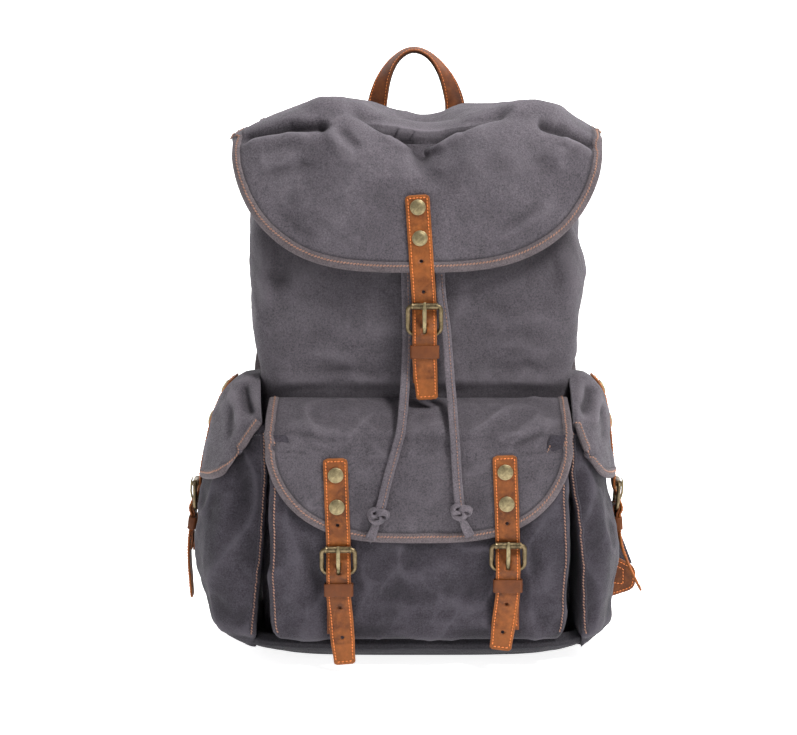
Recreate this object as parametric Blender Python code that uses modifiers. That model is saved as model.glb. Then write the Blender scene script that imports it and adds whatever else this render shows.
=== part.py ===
"""Travel backpack in waxed canvas with buckled leather straps.

Units are metres in the file; the figures below are millimetres and pass
through MM.  +X is the wearer-facing viewer's right, the front of the bag looks
along -Y, +Z is up, and the origin is the centre of the flat underside.
"""
import math

import bmesh
import bpy
from mathutils import Matrix, Vector

MM = 0.001

# ------------------------------------------------------------------ figures
WALL = 3.0                 # waxed canvas with its interlining
LINING = 0.8
FLAP_T = 3.0               # lid cloth, two layers and padding
LEATHER = 2.0
CHAPE_T = 1.6
STRAP_HALF = 10.4          # strap is 20.8 wide
WIRE_R = 1.75              # buckle wire 3.5
FRAME_HALF = 14.0          # buckle rail centres
SNAP_R = 6.4

# lid
LID_Y, LID_Z = 76.0, 464.0             # stitch line the lid turns on
LID_FRONT, LID_RAD = -90.0, 44.0
LID_HALF, LID_HALF_BACK = 158.0, 140.0

# front pocket
POCKET_Y = -114.6
FOLD_Z = 204.6
FLAP_Y = -118.0                         # outer face of the pocket flap

# main bag sections: z, x left, x right, y front, y back
BODY = [
    (0.0, -124, 126, -58, 70), (3.5, -131, 133, -65, 77),
    (14.0, -135, 136, -68.5, 79.5), (60.0, -138, 136.5, -70, 80),
    (150.0, -139.5, 136, -70, 80), (242.0, -140.5, 136, -70, 80),
    (321.0, -145.5, 147, -71, 80), (392.0, -146, 146, -70, 80),
    (430.0, -143, 143, -67, 80), (446.0, -139.5, 139.5, -62.5, 79.5)]
RIM_TILT = 8.0                          # the back of the mouth stands higher

SIDE_LEFT = [
    (9.0, -141.2, -160, -66, 38), (19.0, -141.2, -174, -76, 45),
    (40.0, -141.4, -184.0, -84, 50), (75.0, -141.6, -191.0, -87, 52),
    (110.0, -141.8, -191.5, -87, 52), (150.0, -142.0, -186.0, -86, 52),
    (185.0, -142.0, -179.0, -84, 51), (207.0, -142.2, -172.5, -80, 50)]
SIDE_RIGHT = [
    (9.0, 138.2, 157, -66, 38), (19.0, 138.4, 166, -76, 45),
    (40.0, 138.6, 172, -84, 50), (75.0, 138.6, 174.5, -87, 52),
    (110.0, 138.6, 173.0, -87, 52), (150.0, 138.6, 167.6, -86, 52),
    (185.0, 138.6, 163.6, -84, 51), (207.0, 138.6, 160.2, -80, 50)]

# side pocket flaps, outer face seen along Y, from the seam outwards
FLAP_LEFT = [(-143.4, 247), (-152, 244.5), (-163, 236), (-172, 222),
             (-179, 205), (-184, 185), (-187.5, 168), (-190, 156)]
FLAP_RIGHT = [(139.2, 247), (148.5, 244.5), (158, 237), (164.5, 224),
              (168.4, 206), (170.4, 186), (172.2, 168), (173.4, 156)]
SIDE_YC, SIDE_HALF = -16.0, 68.0

PARTS, CUTTERS = {}, {}


# ------------------------------------------------------------------ helpers
def clear_scene():
    for ob in list(bpy.data.objects):
        bpy.data.objects.remove(ob, do_unlink=True)
    for block in list(bpy.data.collections):
        bpy.data.collections.remove(block)


def new_collection(name):
    col = bpy.data.collections.new(name)
    bpy.context.scene.collection.children.link(col)
    return col


def new_material(name, rgb, rough, metal=0.0):
    mat = bpy.data.materials.new(name)
    mat.use_nodes = True
    node = mat.node_tree.nodes["Principled BSDF"]
    node.inputs["Base Color"].default_value = (*rgb, 1.0)
    node.inputs["Roughness"].default_value = rough
    node.inputs["Metallic"].default_value = metal
    mat.diffuse_color = (*rgb, 1.0)
    return mat


def finish(name, bm, mat, origin=(0, 0, 0), smooth=True, cutter=False):
    """Turn a bmesh drawn in millimetres into an object with its own origin."""
    org = Vector(origin)
    for v in bm.verts:
        v.co = (v.co - org) * MM
    if cutter:
        bmesh.ops.recalc_face_normals(bm, faces=bm.faces)
    me = bpy.data.meshes.new(name)
    bm.to_mesh(me)
    bm.free()
    ob = bpy.data.objects.new(name, me)
    ob.location = org * MM
    if cutter:
        COL_CUT.objects.link(ob)
        ob.hide_render = True
        ob.display_type = 'WIRE'
        CUTTERS[name] = ob
    else:
        COL.objects.link(ob)
        me.materials.append(mat)
        PARTS[name] = ob
        if smooth:
            me.shade_smooth()
    return ob


def smooth01(t):
    t = min(1.0, max(0.0, t))
    return t * t * (3 - 2 * t)


def lerp(a, b, t):
    return a + (b - a) * t


def squircle(n, power, x0, x1, y0, y1):
    """Points of a rounded box outline, evenly spread along its length."""
    cx, cy, a, b = (x0 + x1) / 2, (y0 + y1) / 2, abs(x1 - x0) / 2, abs(y1 - y0) / 2
    dense = []
    for i in range(n * 16):
        ang = 2 * math.pi * i / (n * 16)
        c, s = math.cos(ang), math.sin(ang)
        r = (abs(c) ** power + abs(s) ** power) ** (-1.0 / power)
        dense.append((a * r * c, b * r * s))
    run = [0.0]
    for i in range(len(dense)):
        p, q = dense[i], dense[(i + 1) % len(dense)]
        run.append(run[-1] + math.hypot(q[0] - p[0], q[1] - p[1]))
    out, j = [], 0
    for k in range(n):
        want = run[-1] * k / n
        while run[j + 1] < want:
            j += 1
        f = (want - run[j]) / (run[j + 1] - run[j])
        p, q = dense[j], dense[(j + 1) % len(dense)]
        out.append((cx + lerp(p[0], q[0], f), cy + lerp(p[1], q[1], f)))
    return out


def loft(rings, cap_start=True, cap_end=True):
    """Extrude a circle ring by ring and set every ring to its outline."""
    bm = bmesh.new()
    n = len(rings[0])
    bmesh.ops.create_circle(bm, cap_ends=cap_start, segments=n, radius=1.0)
    bm.verts.ensure_lookup_table()
    loop = list(bm.verts)
    for v, p in zip(loop, rings[0]):
        v.co = p
    edges = list(bm.edges)
    for ring in rings[1:]:
        ret = bmesh.ops.extrude_edge_only(bm, edges=edges)
        fresh = [g for g in ret["geom"] if isinstance(g, bmesh.types.BMVert)]
        edges = [g for g in ret["geom"] if isinstance(g, bmesh.types.BMEdge)
                 and g.verts[0] in fresh and g.verts[1] in fresh]
        near = {v.index: v for v in loop}
        bm.verts.index_update()
        order = {}
        for v in fresh:
            for e in v.link_edges:
                o = e.other_vert(v)
                if o in loop:
                    order[loop.index(o)] = v
        loop = [order[i] for i in range(n)]
        for v, p in zip(loop, ring):
            v.co = p
        del near
    if cap_end:
        bmesh.ops.contextual_create(bm, geom=edges)
    bmesh.ops.recalc_face_normals(bm, faces=bm.faces)
    return bm


def add_solidify(ob, thick, offset=-1.0):
    mod = ob.modifiers.new("Thickness", 'SOLIDIFY')
    mod.thickness = thick * MM
    mod.offset = offset
    mod.use_even_offset = True
    mod.use_quality_normals = True
    return mod


def add_cut(ob, cutter):
    mod = ob.modifiers.new("Cut " + cutter.name, 'BOOLEAN')
    mod.operation = 'DIFFERENCE'
    mod.solver = 'EXACT'
    mod.object = cutter
    return mod


def box_rings(levels, n, power, tilt=0.0, inset=0.0):
    rings = []
    for i, (z, x0, x1, y0, y1) in enumerate(levels):
        s = 1 if x1 > x0 else -1
        k = i / (len(levels) - 1)
        ring = []
        for x, y in squircle(n, power, x0 + s * inset, x1 - s * inset,
                             y0 + inset, y1 - inset):
            up = tilt * smooth01((k - 0.55) / 0.45) * (y - y0) / (y1 - y0)
            ring.append(Vector((x, y, z + up)))
        rings.append(ring)
    return rings


def shell(name, levels, wall, mat, n=56, power=6.0, tilt=0.0, inset=0.0, lift=0.0):
    rings = box_rings([(z + lift if i == 0 else z, *rest)
                       for i, (z, *rest) in enumerate(levels)], n, power, tilt, inset)
    bm = loft(rings, True, False)
    ob = finish(name, bm, mat)
    # normals face out of the open shell
    if bottom_faces_up(ob):
        ob.data.flip_normals()
    add_solidify(ob, wall)
    return ob


def bottom_faces_up(ob):
    low = min(ob.data.polygons, key=lambda p: p.center.z)
    return low.normal.z > 0


def sheet(name, nu, nv, fn, thick, mat, toward, offset=-1.0, origin=(0, 0, 0)):
    """Grid laid on fn(u, v), u and v in 0..1, given thickness away from the
    side that `toward` looks at."""
    bm = bmesh.new()
    bmesh.ops.create_grid(bm, x_segments=nu, y_segments=nv, size=0.5)
    for v in bm.verts:
        v.co = fn(v.co.x + 0.5, v.co.y + 0.5)
    bm.normal_update()
    total = Vector((0, 0, 0))
    for f in bm.faces:
        total += f.normal * f.calc_area()
    if total.dot(Vector(toward)) < 0:
        bmesh.ops.reverse_faces(bm, faces=bm.faces)
    ob = finish(name, bm, mat, origin)
    add_solidify(ob, thick, offset)
    return ob


def sweep(name, stations, mat, n=8, power=4.0, origin=(0, 0, 0)):
    """Closed bar: each station is centre, side vector, face vector, half
    width and half thickness."""
    rings = []
    for c, u, w, hw, ht in stations:
        ring = [Vector(c) + Vector(u) * x + Vector(w) * y
                for x, y in squircle(n, power, -hw, hw, -ht, ht)]
        rings.append(ring)
    bm = loft(rings)
    return finish(name, bm, mat, origin)


def path_frames(points, faces, half, thick):
    """Stations for a band that runs through points with its face turned to
    the given directions."""
    pts = [Vector(p) for p in points]
    out = []
    for i, p in enumerate(pts):
        t = (pts[min(i + 1, len(pts) - 1)] - pts[max(i - 1, 0)]).normalized()
        w = Vector(faces[i])
        u = t.cross(w).normalized()
        w = u.cross(t).normalized()
        h = half[i] if isinstance(half, (list, tuple)) else half
        k = thick[i] if isinstance(thick, (list, tuple)) else thick
        out.append((p, u, w, h, k))
    return out


def catmull(points, per):
    """Points on a smooth curve through the given ones."""
    pts = [Vector(p) for p in points]
    ext = [pts[0] * 2 - pts[1]] + pts + [pts[-1] * 2 - pts[-2]]
    out = []
    for i in range(1, len(ext) - 2):
        p0, p1, p2, p3 = ext[i - 1:i + 3]
        for k in range(per):
            t = k / per
            out.append(0.5 * ((2 * p1) + (p2 - p0) * t
                              + (2 * p0 - 5 * p1 + 4 * p2 - p3) * t * t
                              + (3 * p1 - p0 - 3 * p2 + p3) * t ** 3))
    out.append(pts[-1])
    return out


def piecewise(table, t):
    if t <= table[0][0]:
        return table[0][1]
    for (a, va), (b, vb) in zip(table, table[1:]):
        if t <= b:
            return lerp(va, vb, (t - a) / (b - a))
    return table[-1][1]


# ------------------------------------------------------------ bag and lining
def build_bag():
    shell("main_bag", BODY, WALL, M["canvas"], n=60, power=6.0, tilt=RIM_TILT)
    inner = [(6.0, -122, 124, -56, 68), (9.5, -129, 131, -63, 75),
             (17.0, -133.5, 134.5, -67, 78), *BODY[4:-1], (443.0, *BODY[-1][1:])]
    shell("lining", inner, LINING, M["lining"],
          n=48, power=6.0, tilt=RIM_TILT - 1.0, inset=WALL + 0.9)

    # padded back, a soft block with a chamfered rim
    levels = [(30.0, -108, 108, 81.0, 86), (36.0, -114, 114, 80.8, 91),
              (60.0, -116, 116, 80.8, 93), (240.0, -114, 114, 80.8, 93),
              (400.0, -100, 100, 80.8, 93), (431.0, -92, 92, 80.8, 91),
              (440.0, -84, 84, 81.0, 87)]
    finish("back_panel", loft(box_rings(levels, 28, 7.0)), M["mesh"])


def build_front_pocket():
    outer = [(24.0, -123, 128, -106, -70.8), (27.5, -129, 134, -112, -70.6),
             (35.0, -132, 137, POCKET_Y, -70.6), (120.0, -129.5, 134, POCKET_Y, -70.6),
             (202.0, -126.8, 131.6, POCKET_Y, -70.6),
             (FOLD_Z, -126.6, 131.4, -113.2, -70.6), (231.0, -126, 131, -74.5, -70.8)]
    ob = finish("front_pocket", loft(box_rings(outer, 44, 9.0)), M["canvas_low"])
    hollow = [(26.6, -121, 126, -104, -73.2), (30.0, -127, 132, -109.8, -73.2),
              (37.0, -129.4, 134.4, POCKET_Y + 2.4, -73.2),
              (200.5, -124.2, 129, POCKET_Y + 2.4, -73.2),
              (202.0, -124, 128.8, -111.2, -73.2), (223.0, -123.4, 128.4, -78.4, -73.2)]
    add_cut(ob, finish("pocket_hollow", loft(box_rings(hollow, 44, 9.0)), None, cutter=True))
    bm = bmesh.new()
    bmesh.ops.create_cube(bm, size=1.0)
    bmesh.ops.scale(bm, vec=(224, 16, 21), verts=bm.verts)
    bmesh.ops.translate(bm, vec=(1, -115, 185.5), verts=bm.verts)
    add_cut(ob, finish("pocket_mouth", bm, None, cutter=True))


def build_side_pockets():
    for side, table in (("left", SIDE_LEFT), ("right", SIDE_RIGHT)):
        levels = [(z, min(a, b), max(a, b), y0, y1) for z, a, b, y0, y1 in table]
        shell("side_pocket_" + side, levels, 2.4, M["canvas"], n=36, power=3.4)


# ------------------------------------------------------------------- flaps
def lid_point(u, v):
    s = 2 * u - 1
    a = abs(s)
    x_front = s * LID_HALF
    yf = LID_FRONT + 18 * a ** 3
    zt = (476 - 24 * a ** 4 + 8 * math.exp(-((x_front + 85) / 38) ** 2)
          + 8 * math.exp(-((x_front - 106) / 38) ** 2)
          - 4 * math.exp(-((x_front - 10) / 22) ** 2))
    zb = 451 - 111 * math.sqrt(max(0.0, 1 - a ** 3.3))
    r = LID_RAD
    run1 = LID_Y - (yf + r)
    drop = zt - zb
    phi = math.pi / 2 if drop > r else math.acos(1 - drop / r)
    run2, run3 = r * phi, max(0.0, drop - r)
    d = v * (run1 + run2 + run3)
    if d < run1:
        y, z = LID_Y - d, zt
    elif d < run1 + run2:
        f = (d - run1) / r
        y, z = yf + r - r * math.sin(f), zt - r + r * math.cos(f)
    else:
        y, z = yf, zt - r - (d - run1 - run2)
    k = smooth01(d / 45.0)
    z = lerp(LID_Z + 0.4, z, k)
    x = s * lerp(LID_HALF_BACK, LID_HALF, smooth01(d / 90.0))
    return Vector((x, y, z))


def build_lid():
    sheet("top_flap", 24, 18, lid_point, FLAP_T, M["canvas"], (0, -0.4, 1),
          origin=(0, LID_Y, LID_Z))


def front_flap_point(u, v):
    s = 2 * u - 1
    a = abs(s)
    x = 1.0 + s * 129.0
    length = 12 + 79.5 * max(0.0, 1 - a ** 3.1) ** (1 / 1.85)
    z = FOLD_Z - 0.6 - v * length
    y = FLAP_Y + 1.0 * a ** 6
    return Vector((x, y, z))


def build_front_flap():
    sheet("front_flap", 22, 8, front_flap_point, 2.4, M["canvas"], (0, -1, 0),
          origin=(0, POCKET_Y, FOLD_Z))


def profile_at(table, d):
    for p, q in zip(table, table[1:]):
        step = math.hypot(q[0] - p[0], q[1] - p[1])
        if d <= step:
            return lerp(p[0], q[0], d / step), lerp(p[1], q[1], d / step)
        d -= step
    return table[-1]


def profile_length(table):
    return sum(math.hypot(q[0] - p[0], q[1] - p[1]) for p, q in zip(table, table[1:]))


def side_flap_point(table):
    total = profile_length(table)

    def fn(u, v):
        s = 2 * u - 1
        d = v * (14 + (total - 14) * math.sqrt(max(0.0, 1 - abs(s) ** 2.8)))
        x, z = profile_at(table, d)
        return Vector((x, SIDE_YC + s * SIDE_HALF, z))
    return fn


def build_side_flaps():
    for side, table, sx in (("left", FLAP_LEFT, -1), ("right", FLAP_RIGHT, 1)):
        sheet("side_flap_" + side, 14, 12, side_flap_point(table), 2.4, M["canvas"],
              (sx, 0, 0.5), origin=(table[0][0], SIDE_YC, table[0][1]))


# ------------------------------------------------------------------- straps
class Strap:
    """One buckled strap.  Distances run t down the strap from the roller, n
    away from the cloth and u across, on the axes kept here."""

    def __init__(self, key, origin, across, out, down, h, keeper, tip, snaps,
                 holes, upper, lower, lean, chape_end):
        self.key, self.h, self.keeper, self.tip = key, h, keeper, tip
        self.snaps, self.holes = snaps, holes
        self.o, self.u = Vector(origin), Vector(across)
        self.n, self.t = Vector(out), Vector(down)
        self.upper, self.lower, self.lean = upper, lower, lean
        self.chape_end = chape_end

    def at(self, u, n, t):
        return self.o + self.u * (u + piecewise(self.lean, t)) + self.n * n + self.t * t

    def straight(self, u, n, t):
        return self.o + self.u * u + self.n * n + self.t * t

    def billet_path(self):
        h, k = self.h, self.keeper
        mid = [(0.0, -0.5), (4.5, -0.2), (h - 9.5, 2.4), (h - 4, 5.1), (h, 6.1),
               (h + 3.0, 5.7), (h + 6.0, 3.6), (h + 7.5, 3.3), (k, 3.3), (k + 8, 3.3)]
        return self.upper + mid + self.lower


def strip_sheet(name, strap, path, half, thick, mat, lean=True, nu=2, origin=None):
    """Flat band laid on a (t, n) path."""
    runs = [0.0]
    for p, q in zip(path, path[1:]):
        runs.append(runs[-1] + math.hypot(q[0] - p[0], q[1] - p[1]))
    nv = len(path) - 1
    place = strap.at if lean else strap.straight

    def fn(u, v):
        i = round(v * nv)
        t, n = path[i]
        w = half[i] if isinstance(half, list) else half
        return place((2 * u - 1) * w, n, t)
    return sheet(name, nu, nv, fn, thick, mat, strap.n, 0.0,
                 origin if origin is not None else strap.o)


def peg(strap, t, n, r, length, sides=8, lean=True, name="peg"):
    """Short rod standing on the strap face, for holes."""
    bm = bmesh.new()
    place = strap.at if lean else strap.straight
    c = place(0, n, t)
    rot = Matrix((strap.u, strap.t, strap.n)).transposed().to_4x4()
    if rot.determinant() < 0:
        rot = Matrix((-strap.u, strap.t, strap.n)).transposed().to_4x4()
    bmesh.ops.create_cone(bm, cap_ends=True, segments=sides, radius1=r, radius2=r,
                          depth=length, matrix=Matrix.Translation(c) @ rot)
    return bm


def merge(bms):
    out = bmesh.new()
    for b in bms:
        me = bpy.data.meshes.new("join")
        b.to_mesh(me)
        b.free()
        out.from_mesh(me)
        bpy.data.meshes.remove(me)
    return out


def local_box(strap, u0, u1, n0, n1, t0, t1, lean=False):
    bm = bmesh.new()
    bmesh.ops.create_cube(bm, size=1.0)
    place = strap.at if lean else strap.straight
    for v in bm.verts:
        v.co = place(lerp(u0, u1, v.co.x + 0.5), lerp(n0, n1, v.co.y + 0.5),
                     lerp(t0, t1, v.co.z + 0.5))
    bmesh.ops.recalc_face_normals(bm, faces=bm.faces)
    return bm


def n_on(path, t):
    return piecewise(sorted(path), t)


def build_strap(s):
    leather, dark, brass = M["leather"], M["leather_dark"], M["brass"]
    h, k = s.h, s.keeper

    # billet: pointed tongue of the strap with its punched holes
    path = s.billet_path()
    half = []
    for t, n in path:
        left = s.tip - t
        half.append(STRAP_HALF if left > 9 else STRAP_HALF * (0.55 + 0.45 * smooth01(left / 9.0)))
    billet = strip_sheet(s.key + "_billet", s, path, half, LEATHER, leather)
    cuts = [peg(s, t, n_on(path, t), 2.2, 12) for t in s.snaps]
    cuts += [peg(s, t, n_on(path, t), 1.5, 12) for t in s.holes]
    cuts.append(local_box(s, -2.1, 2.1, -2, 10, h - 9.5, h - 0.5, lean=True))
    add_cut(billet, finish(s.key + "_holes", merge(cuts), None, s.o, cutter=True))

    # chape: doubled leather folded round the heel bar
    rad, cn, end = 2.85, 1.0, s.chape_end
    fold = [(end, -2.2), (h + 12, -2.2), (h + 4, -2.1)]
    for i in range(0, 9):
        b = math.radians(i * 205 / 8)
        fold.append((h - rad * math.sin(b), cn - rad * math.cos(b)))
    fold += [(h + 3.4, 2.3), (h + 5.0, 1.45), (h + 6.6, 1.2), (k + 9, 1.2),
             (k + 16, 0.0), (end, 0.0)]
    chape = strip_sheet(s.key + "_chape", s, fold, STRAP_HALF - 0.6, CHAPE_T, dark, lean=False)
    add_cut(chape, finish(s.key + "_chape_slot",
                          local_box(s, -2.5, 2.5, -8, 9, h - 8, h + 5.6), None, s.o, cutter=True))

    # buckle frame: one bent wire, roller bar a little prouder than the heel
    ring = []
    cr = 2.4
    corners = [(-FRAME_HALF, 0), (FRAME_HALF, 0), (FRAME_HALF, h), (-FRAME_HALF, h)]
    starts = [180, 270, 0, 90]
    for (cu, ct), a0 in zip(corners, starts):
        cc = (cu - math.copysign(cr, cu), ct + (cr if ct == 0 else -cr))
        for i in range(4):
            a = math.radians(a0 + i * 30)
            ring.append((cc[0] + cr * math.cos(a), cc[1] + cr * math.sin(a)))
    cu = bpy.data.curves.new(s.key + "_buckle", 'CURVE')
    cu.dimensions = '3D'
    cu.bevel_depth = WIRE_R * MM
    cu.bevel_resolution = 2
    cu.resolution_u = 1
    cu.twist_mode = 'Z_UP' if abs(s.u.x) > 0.5 else 'MINIMUM'
    sp = cu.splines.new('POLY')
    sp.points.add(len(ring) - 1)
    for pt, (uu, tt) in zip(sp.points, ring):
        w = (s.straight(uu, lerp(4.0, cn, tt / h), tt) - s.o) * MM
        pt.co = (*w, 1.0)
    sp.use_cyclic_u = True
    cu.materials.append(brass)
    fr = bpy.data.objects.new(s.key + "_buckle", cu)
    fr.location = s.o * MM
    COL.objects.link(fr)
    PARTS[s.key + "_buckle"] = fr

    # roller sleeve on the upper bar
    c = s.straight(0, 4.0, 0)
    rot = rotation_to(s.u)
    rings = []
    for r, z in ((2.05, -11.2), (2.8, -11.2), (3.0, -10.8), (3.0, 10.8), (2.8, 11.2), (2.05, 11.2)):
        rings.append([rot @ Vector((r * math.cos(a), r * math.sin(a), z)) + c
                      for a in [2 * math.pi * i / 16 for i in range(16)]])
    bm = loft(rings, False, False)
    loops = [e for e in bm.edges if e.is_boundary]
    bmesh.ops.bridge_loops(bm, edges=loops)
    bmesh.ops.recalc_face_normals(bm, faces=bm.faces)
    finish(s.key + "_roller", bm, brass, c)

    # prong: flat wire curled round the heel bar, its point on the roller
    pr = []
    for a in (250, 215, 180, 145, 110, 75, 35, 0):
        b = math.radians(a)
        pr.append((h + 2.65 * math.sin(b), cn + 2.65 * math.cos(b)))
    pr += [(h - 3, 3.85), (h - 5, 4.7), (h - 8, 6.2), (h - 12, 7.5), (4.0, 8.1),
           (0.0, 8.2), (-3.6, 7.6)]
    wid = [1.6] * (len(pr) - 2) + [1.4, 0.9]
    strip_sheet(s.key + "_tongue", s, pr, wid, 1.3, brass, lean=False, nu=1,
                origin=s.straight(0, cn, h))

    # keeper: band threaded between the chape layers and over the billet
    band = []
    u0, n0, n1 = 11.5, -0.5, 5.2
    for cu_, cn_, a0 in ((u0, n1, 0), (-u0, n1, 90), (-u0, n0, 180), (u0, n0, 270)):
        rr = 1.0
        cx = cu_ - math.copysign(rr, cu_)
        cy = cn_ + (-rr if cn_ == n1 else rr)
        for i in range(3):
            a = math.radians(a0 + i * 45)
            band.append((cx + rr * math.cos(a), cy + rr * math.sin(a)))
    rings = []
    off = piecewise(s.lean, k)
    for t in (k - 6, k + 6):
        rings.append([s.straight(a + off, b, t) for a, b in band])
    bm = loft(rings, False, False)
    bm.normal_update()
    mid = s.straight(off, (n0 + n1) / 2, k)
    f = bm.faces[:] and bm.faces[0]
    bm.faces.ensure_lookup_table()
    if f.normal.dot(f.calc_center_median() - mid) < 0:
        bmesh.ops.reverse_faces(bm, faces=bm.faces)
    ob = finish(s.key + "_keeper", bm, leather, s.straight(off, (n0 + n1) / 2, k), smooth=False)
    add_solidify(ob, 1.2, 0.0)

    # snap caps: flat dome on a short post through the billet
    for t, tag in zip(s.snaps, ("upper", "lower")):
        base = s.at(0, n_on(path, t) + 1.3, t)
        rot = rotation_to(surface_normal(s, path, t))
        rings = []
        for r, z in ((1.3, -1.7), (1.3, 0.0), (SNAP_R - 0.4, 0.0), (SNAP_R, 0.5), (SNAP_R - 0.2, 1.3),
                     (SNAP_R - 1.6, 2.1), (2.6, 2.5)):
            rings.append([rot @ Vector((r * math.cos(a), r * math.sin(a), z)) + base
                          for a in [2 * math.pi * i / 16 for i in range(16)]])
        finish("%s_snap_%s" % (s.key, tag), loft(rings), brass, base)


def surface_normal(s, path, t):
    pts = sorted(path)
    a, b = n_on(pts, t - 2.0), n_on(pts, t + 2.0)
    slope = (b - a) / 4.0
    return (s.n - s.t * slope).normalized()


def rotation_to(axis):
    return Vector((0, 0, 1)).rotation_difference(Vector(axis)).to_matrix()


def offset_profile(table, off, origin, n_axis, t_axis, limit):
    """A flap outline moved outwards, in the strap's own (t, n) figures."""
    pts = []
    count = 13
    total = profile_length(table)
    for i in range(count):
        d = 16 + (total - 17) * i / (count - 1)
        x, z = profile_at(table, d)
        xa, za = profile_at(table, max(0.0, d - 4))
        xb, zb = profile_at(table, min(total, d + 4))
        tx, tz = xb - xa, zb - za
        ln = math.hypot(tx, tz)
        nx, nz = -tz / ln, tx / ln
        if nx * n_axis[0] < 0:
            nx, nz = -nx, -nz
        p = Vector((x + nx * off, origin[1], z + nz * off)) - Vector(origin)
        t, n = p.dot(Vector(t_axis)), p.dot(Vector(n_axis))
        if t < limit:
            pts.append((t, n))
    return pts


def make_straps():
    straps = []
    flat = lambda top, stop, step: [(top + i * (stop - top) / step, 1.4) for i in range(step + 1)]
    straps.append(Strap(
        "top", (6.0, LID_FRONT, 311.0), (1, 0, 0), (0, -1, 0), (0, 0, -1), 24.0, 39.0, 80.0,
        (-83.5, -57.5), (-37.5, -12.5), flat(-94.0, -24.0, 10) + [(-16, 1.3), (-8, 0.3)],
        [(k, n) for k, n in ((56, 2.3), (64, 2.0), (72, 2.0), (77, 2.0), (80, 2.0))],
        [(-94, -6.5), (0, 0.0), (46, 0.2), (80, 2.4)], 66.0))
    straps.append(Strap(
        "front_left", (-67.0, FLAP_Y, 107.0), (1, 0, 0), (0, -1, 0), (0, 0, -1), 21.0, 35.0, 100.0,
        (-64.0, -36.0), (-20.0, 51.0, 76.0), flat(-78.0, -8.0, 8) + [(-7.2, 1.35), (-3.5, 0.2)],
        [(51, 2.4), (58, 2.0), (70, 2.0), (84, 2.4), (94, 2.6), (98, 2.8), (100, 2.8)],
        [(-78, -2.4), (0, 0.0), (42, 0.2), (100, 5.5)], 74.0))
    straps.append(Strap(
        "front_right", (76.8, FLAP_Y, 110.5), (1, 0, 0), (0, -1, 0), (0, 0, -1), 21.0, 35.0, 91.0,
        (-62.5, -35.0), (-19.0, 51.0, 76.0), flat(-77.0, -8.0, 8) + [(-7.2, 1.35), (-3.5, 0.2)],
        [(51, 2.4), (58, 2.0), (68, 2.0), (78, 2.2), (86, 2.4), (89, 2.4), (91, 2.4)],
        [(-77, -3.4), (0, 0.0), (42, 0.0), (91, -6.2)], 74.0))
    for key, table, sx, ox, tilt, tail in (
            ("side_left", FLAP_LEFT, -1, -192.2, 8.0,
             [(50, 3.1), (60, 2.4), (74, 0.4), (90, -3.0), (100, -5.0), (104, -5.8)]),
            ("side_right", FLAP_RIGHT, 1, 175.4, 3.0,
             [(50, 3.5), (60, 5.2), (72, 9.0), (84, 13.5), (95, 18.5), (99, 20.5)])):
        a = math.radians(tilt)
        down = (sx * math.sin(a), 0, -math.cos(a))
        out = (sx * math.cos(a), 0, math.sin(a))
        across = Vector(out).cross(Vector(down))
        origin = (ox, SIDE_YC, 145.0)
        upper = offset_profile(table, 1.5, origin, out, down, -13.0)
        upper = [p for p in upper if p[0] < -15] + [(-9.0, 0.6)]
        tip = tail[-1][0]
        ts = [p[0] for p in upper]
        straps.append(Strap(
            key, origin, across, out, down, 22.0, 36.0, tip,
            (ts[0] + 12.0, ts[0] + 42.0), (52.0, 77.0), upper, tail, [(-100, 0), (110, 0)], 60.0))
    return straps


# ------------------------------------------------------------------ hanging
def rim_z(y):
    return BODY[-1][0] + RIM_TILT * (y - BODY[-1][3]) / (BODY[-1][4] - BODY[-1][3])


def build_drawcord():
    """Flat cord that rings the mouth and hangs its knotted ends in front."""
    left = [(-40, -120.6, 117), (-36, -121.6, 127), (-33, -123.8, 133), (-32.4, -123.8, 139),
            (-30, -120.6, 147), (-25.5, -119.4, 166), (-17.5, -119.4, 195), (-14.5, -118.6, 206),
            (-12.5, -106, 219), (-11.2, -95, 231), (-10, -86.5, 250), (-8.6, -83, 280),
            (-9.5, -81, 330), (-10.5, -76, 390), (-11.5, -72.5, 420), (-15, -69.0, 434)]
    lface = [(0, -1, 0)] * len(left)
    ring, rface = [], []
    pts = squircle(64, 6.0, BODY[-1][1] - 4.0, BODY[-1][2] + 4.0, BODY[-1][3] - 5.0,
                   BODY[-1][4] + 2.6)
    order = [p for p in pts if not (p[1] < -40 and -26 < p[0] < 34)]
    start = min(range(len(order)), key=lambda i: math.hypot(order[i][0] + 26, order[i][1] + 65))
    seq = order[start:] + order[:start]
    if seq[1][0] > seq[0][0]:
        seq = [seq[0]] + seq[:0:-1]
    for x, y in seq:
        ring.append((x, y, rim_z(y) - 4.8))
        rface.append(((x / 139.0) ** 5, (((y - 8.5) / 71.0) ** 5), 0))
    right = [(24, -69.0, 434), (20.5, -72.5, 420), (19.5, -76, 390), (19.5, -81, 330),
             (24.5, -83, 290), (27.5, -86.5, 250), (29.2, -95, 231), (30, -106, 219),
             (31, -118.6, 206), (31.8, -119.4, 195), (33.6, -119.4, 166), (35, -120.6, 150),
             (35.8, -123.8, 143), (36.5, -123.8, 137), (40, -121.6, 129), (44, -120.6, 119)]
    points = left + ring + right
    faces = lface + rface + [(0, -1, 0)] * len(right)
    half, thick = [], []
    for i, p in enumerate(points):
        knot = p[1] < -122.5
        half.append(7.5 if knot else 4.25)
        thick.append(3.6 if knot else 0.8)
    sweep("drawcord", path_frames(points, faces, half, thick), M["cord"], n=8)


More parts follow.
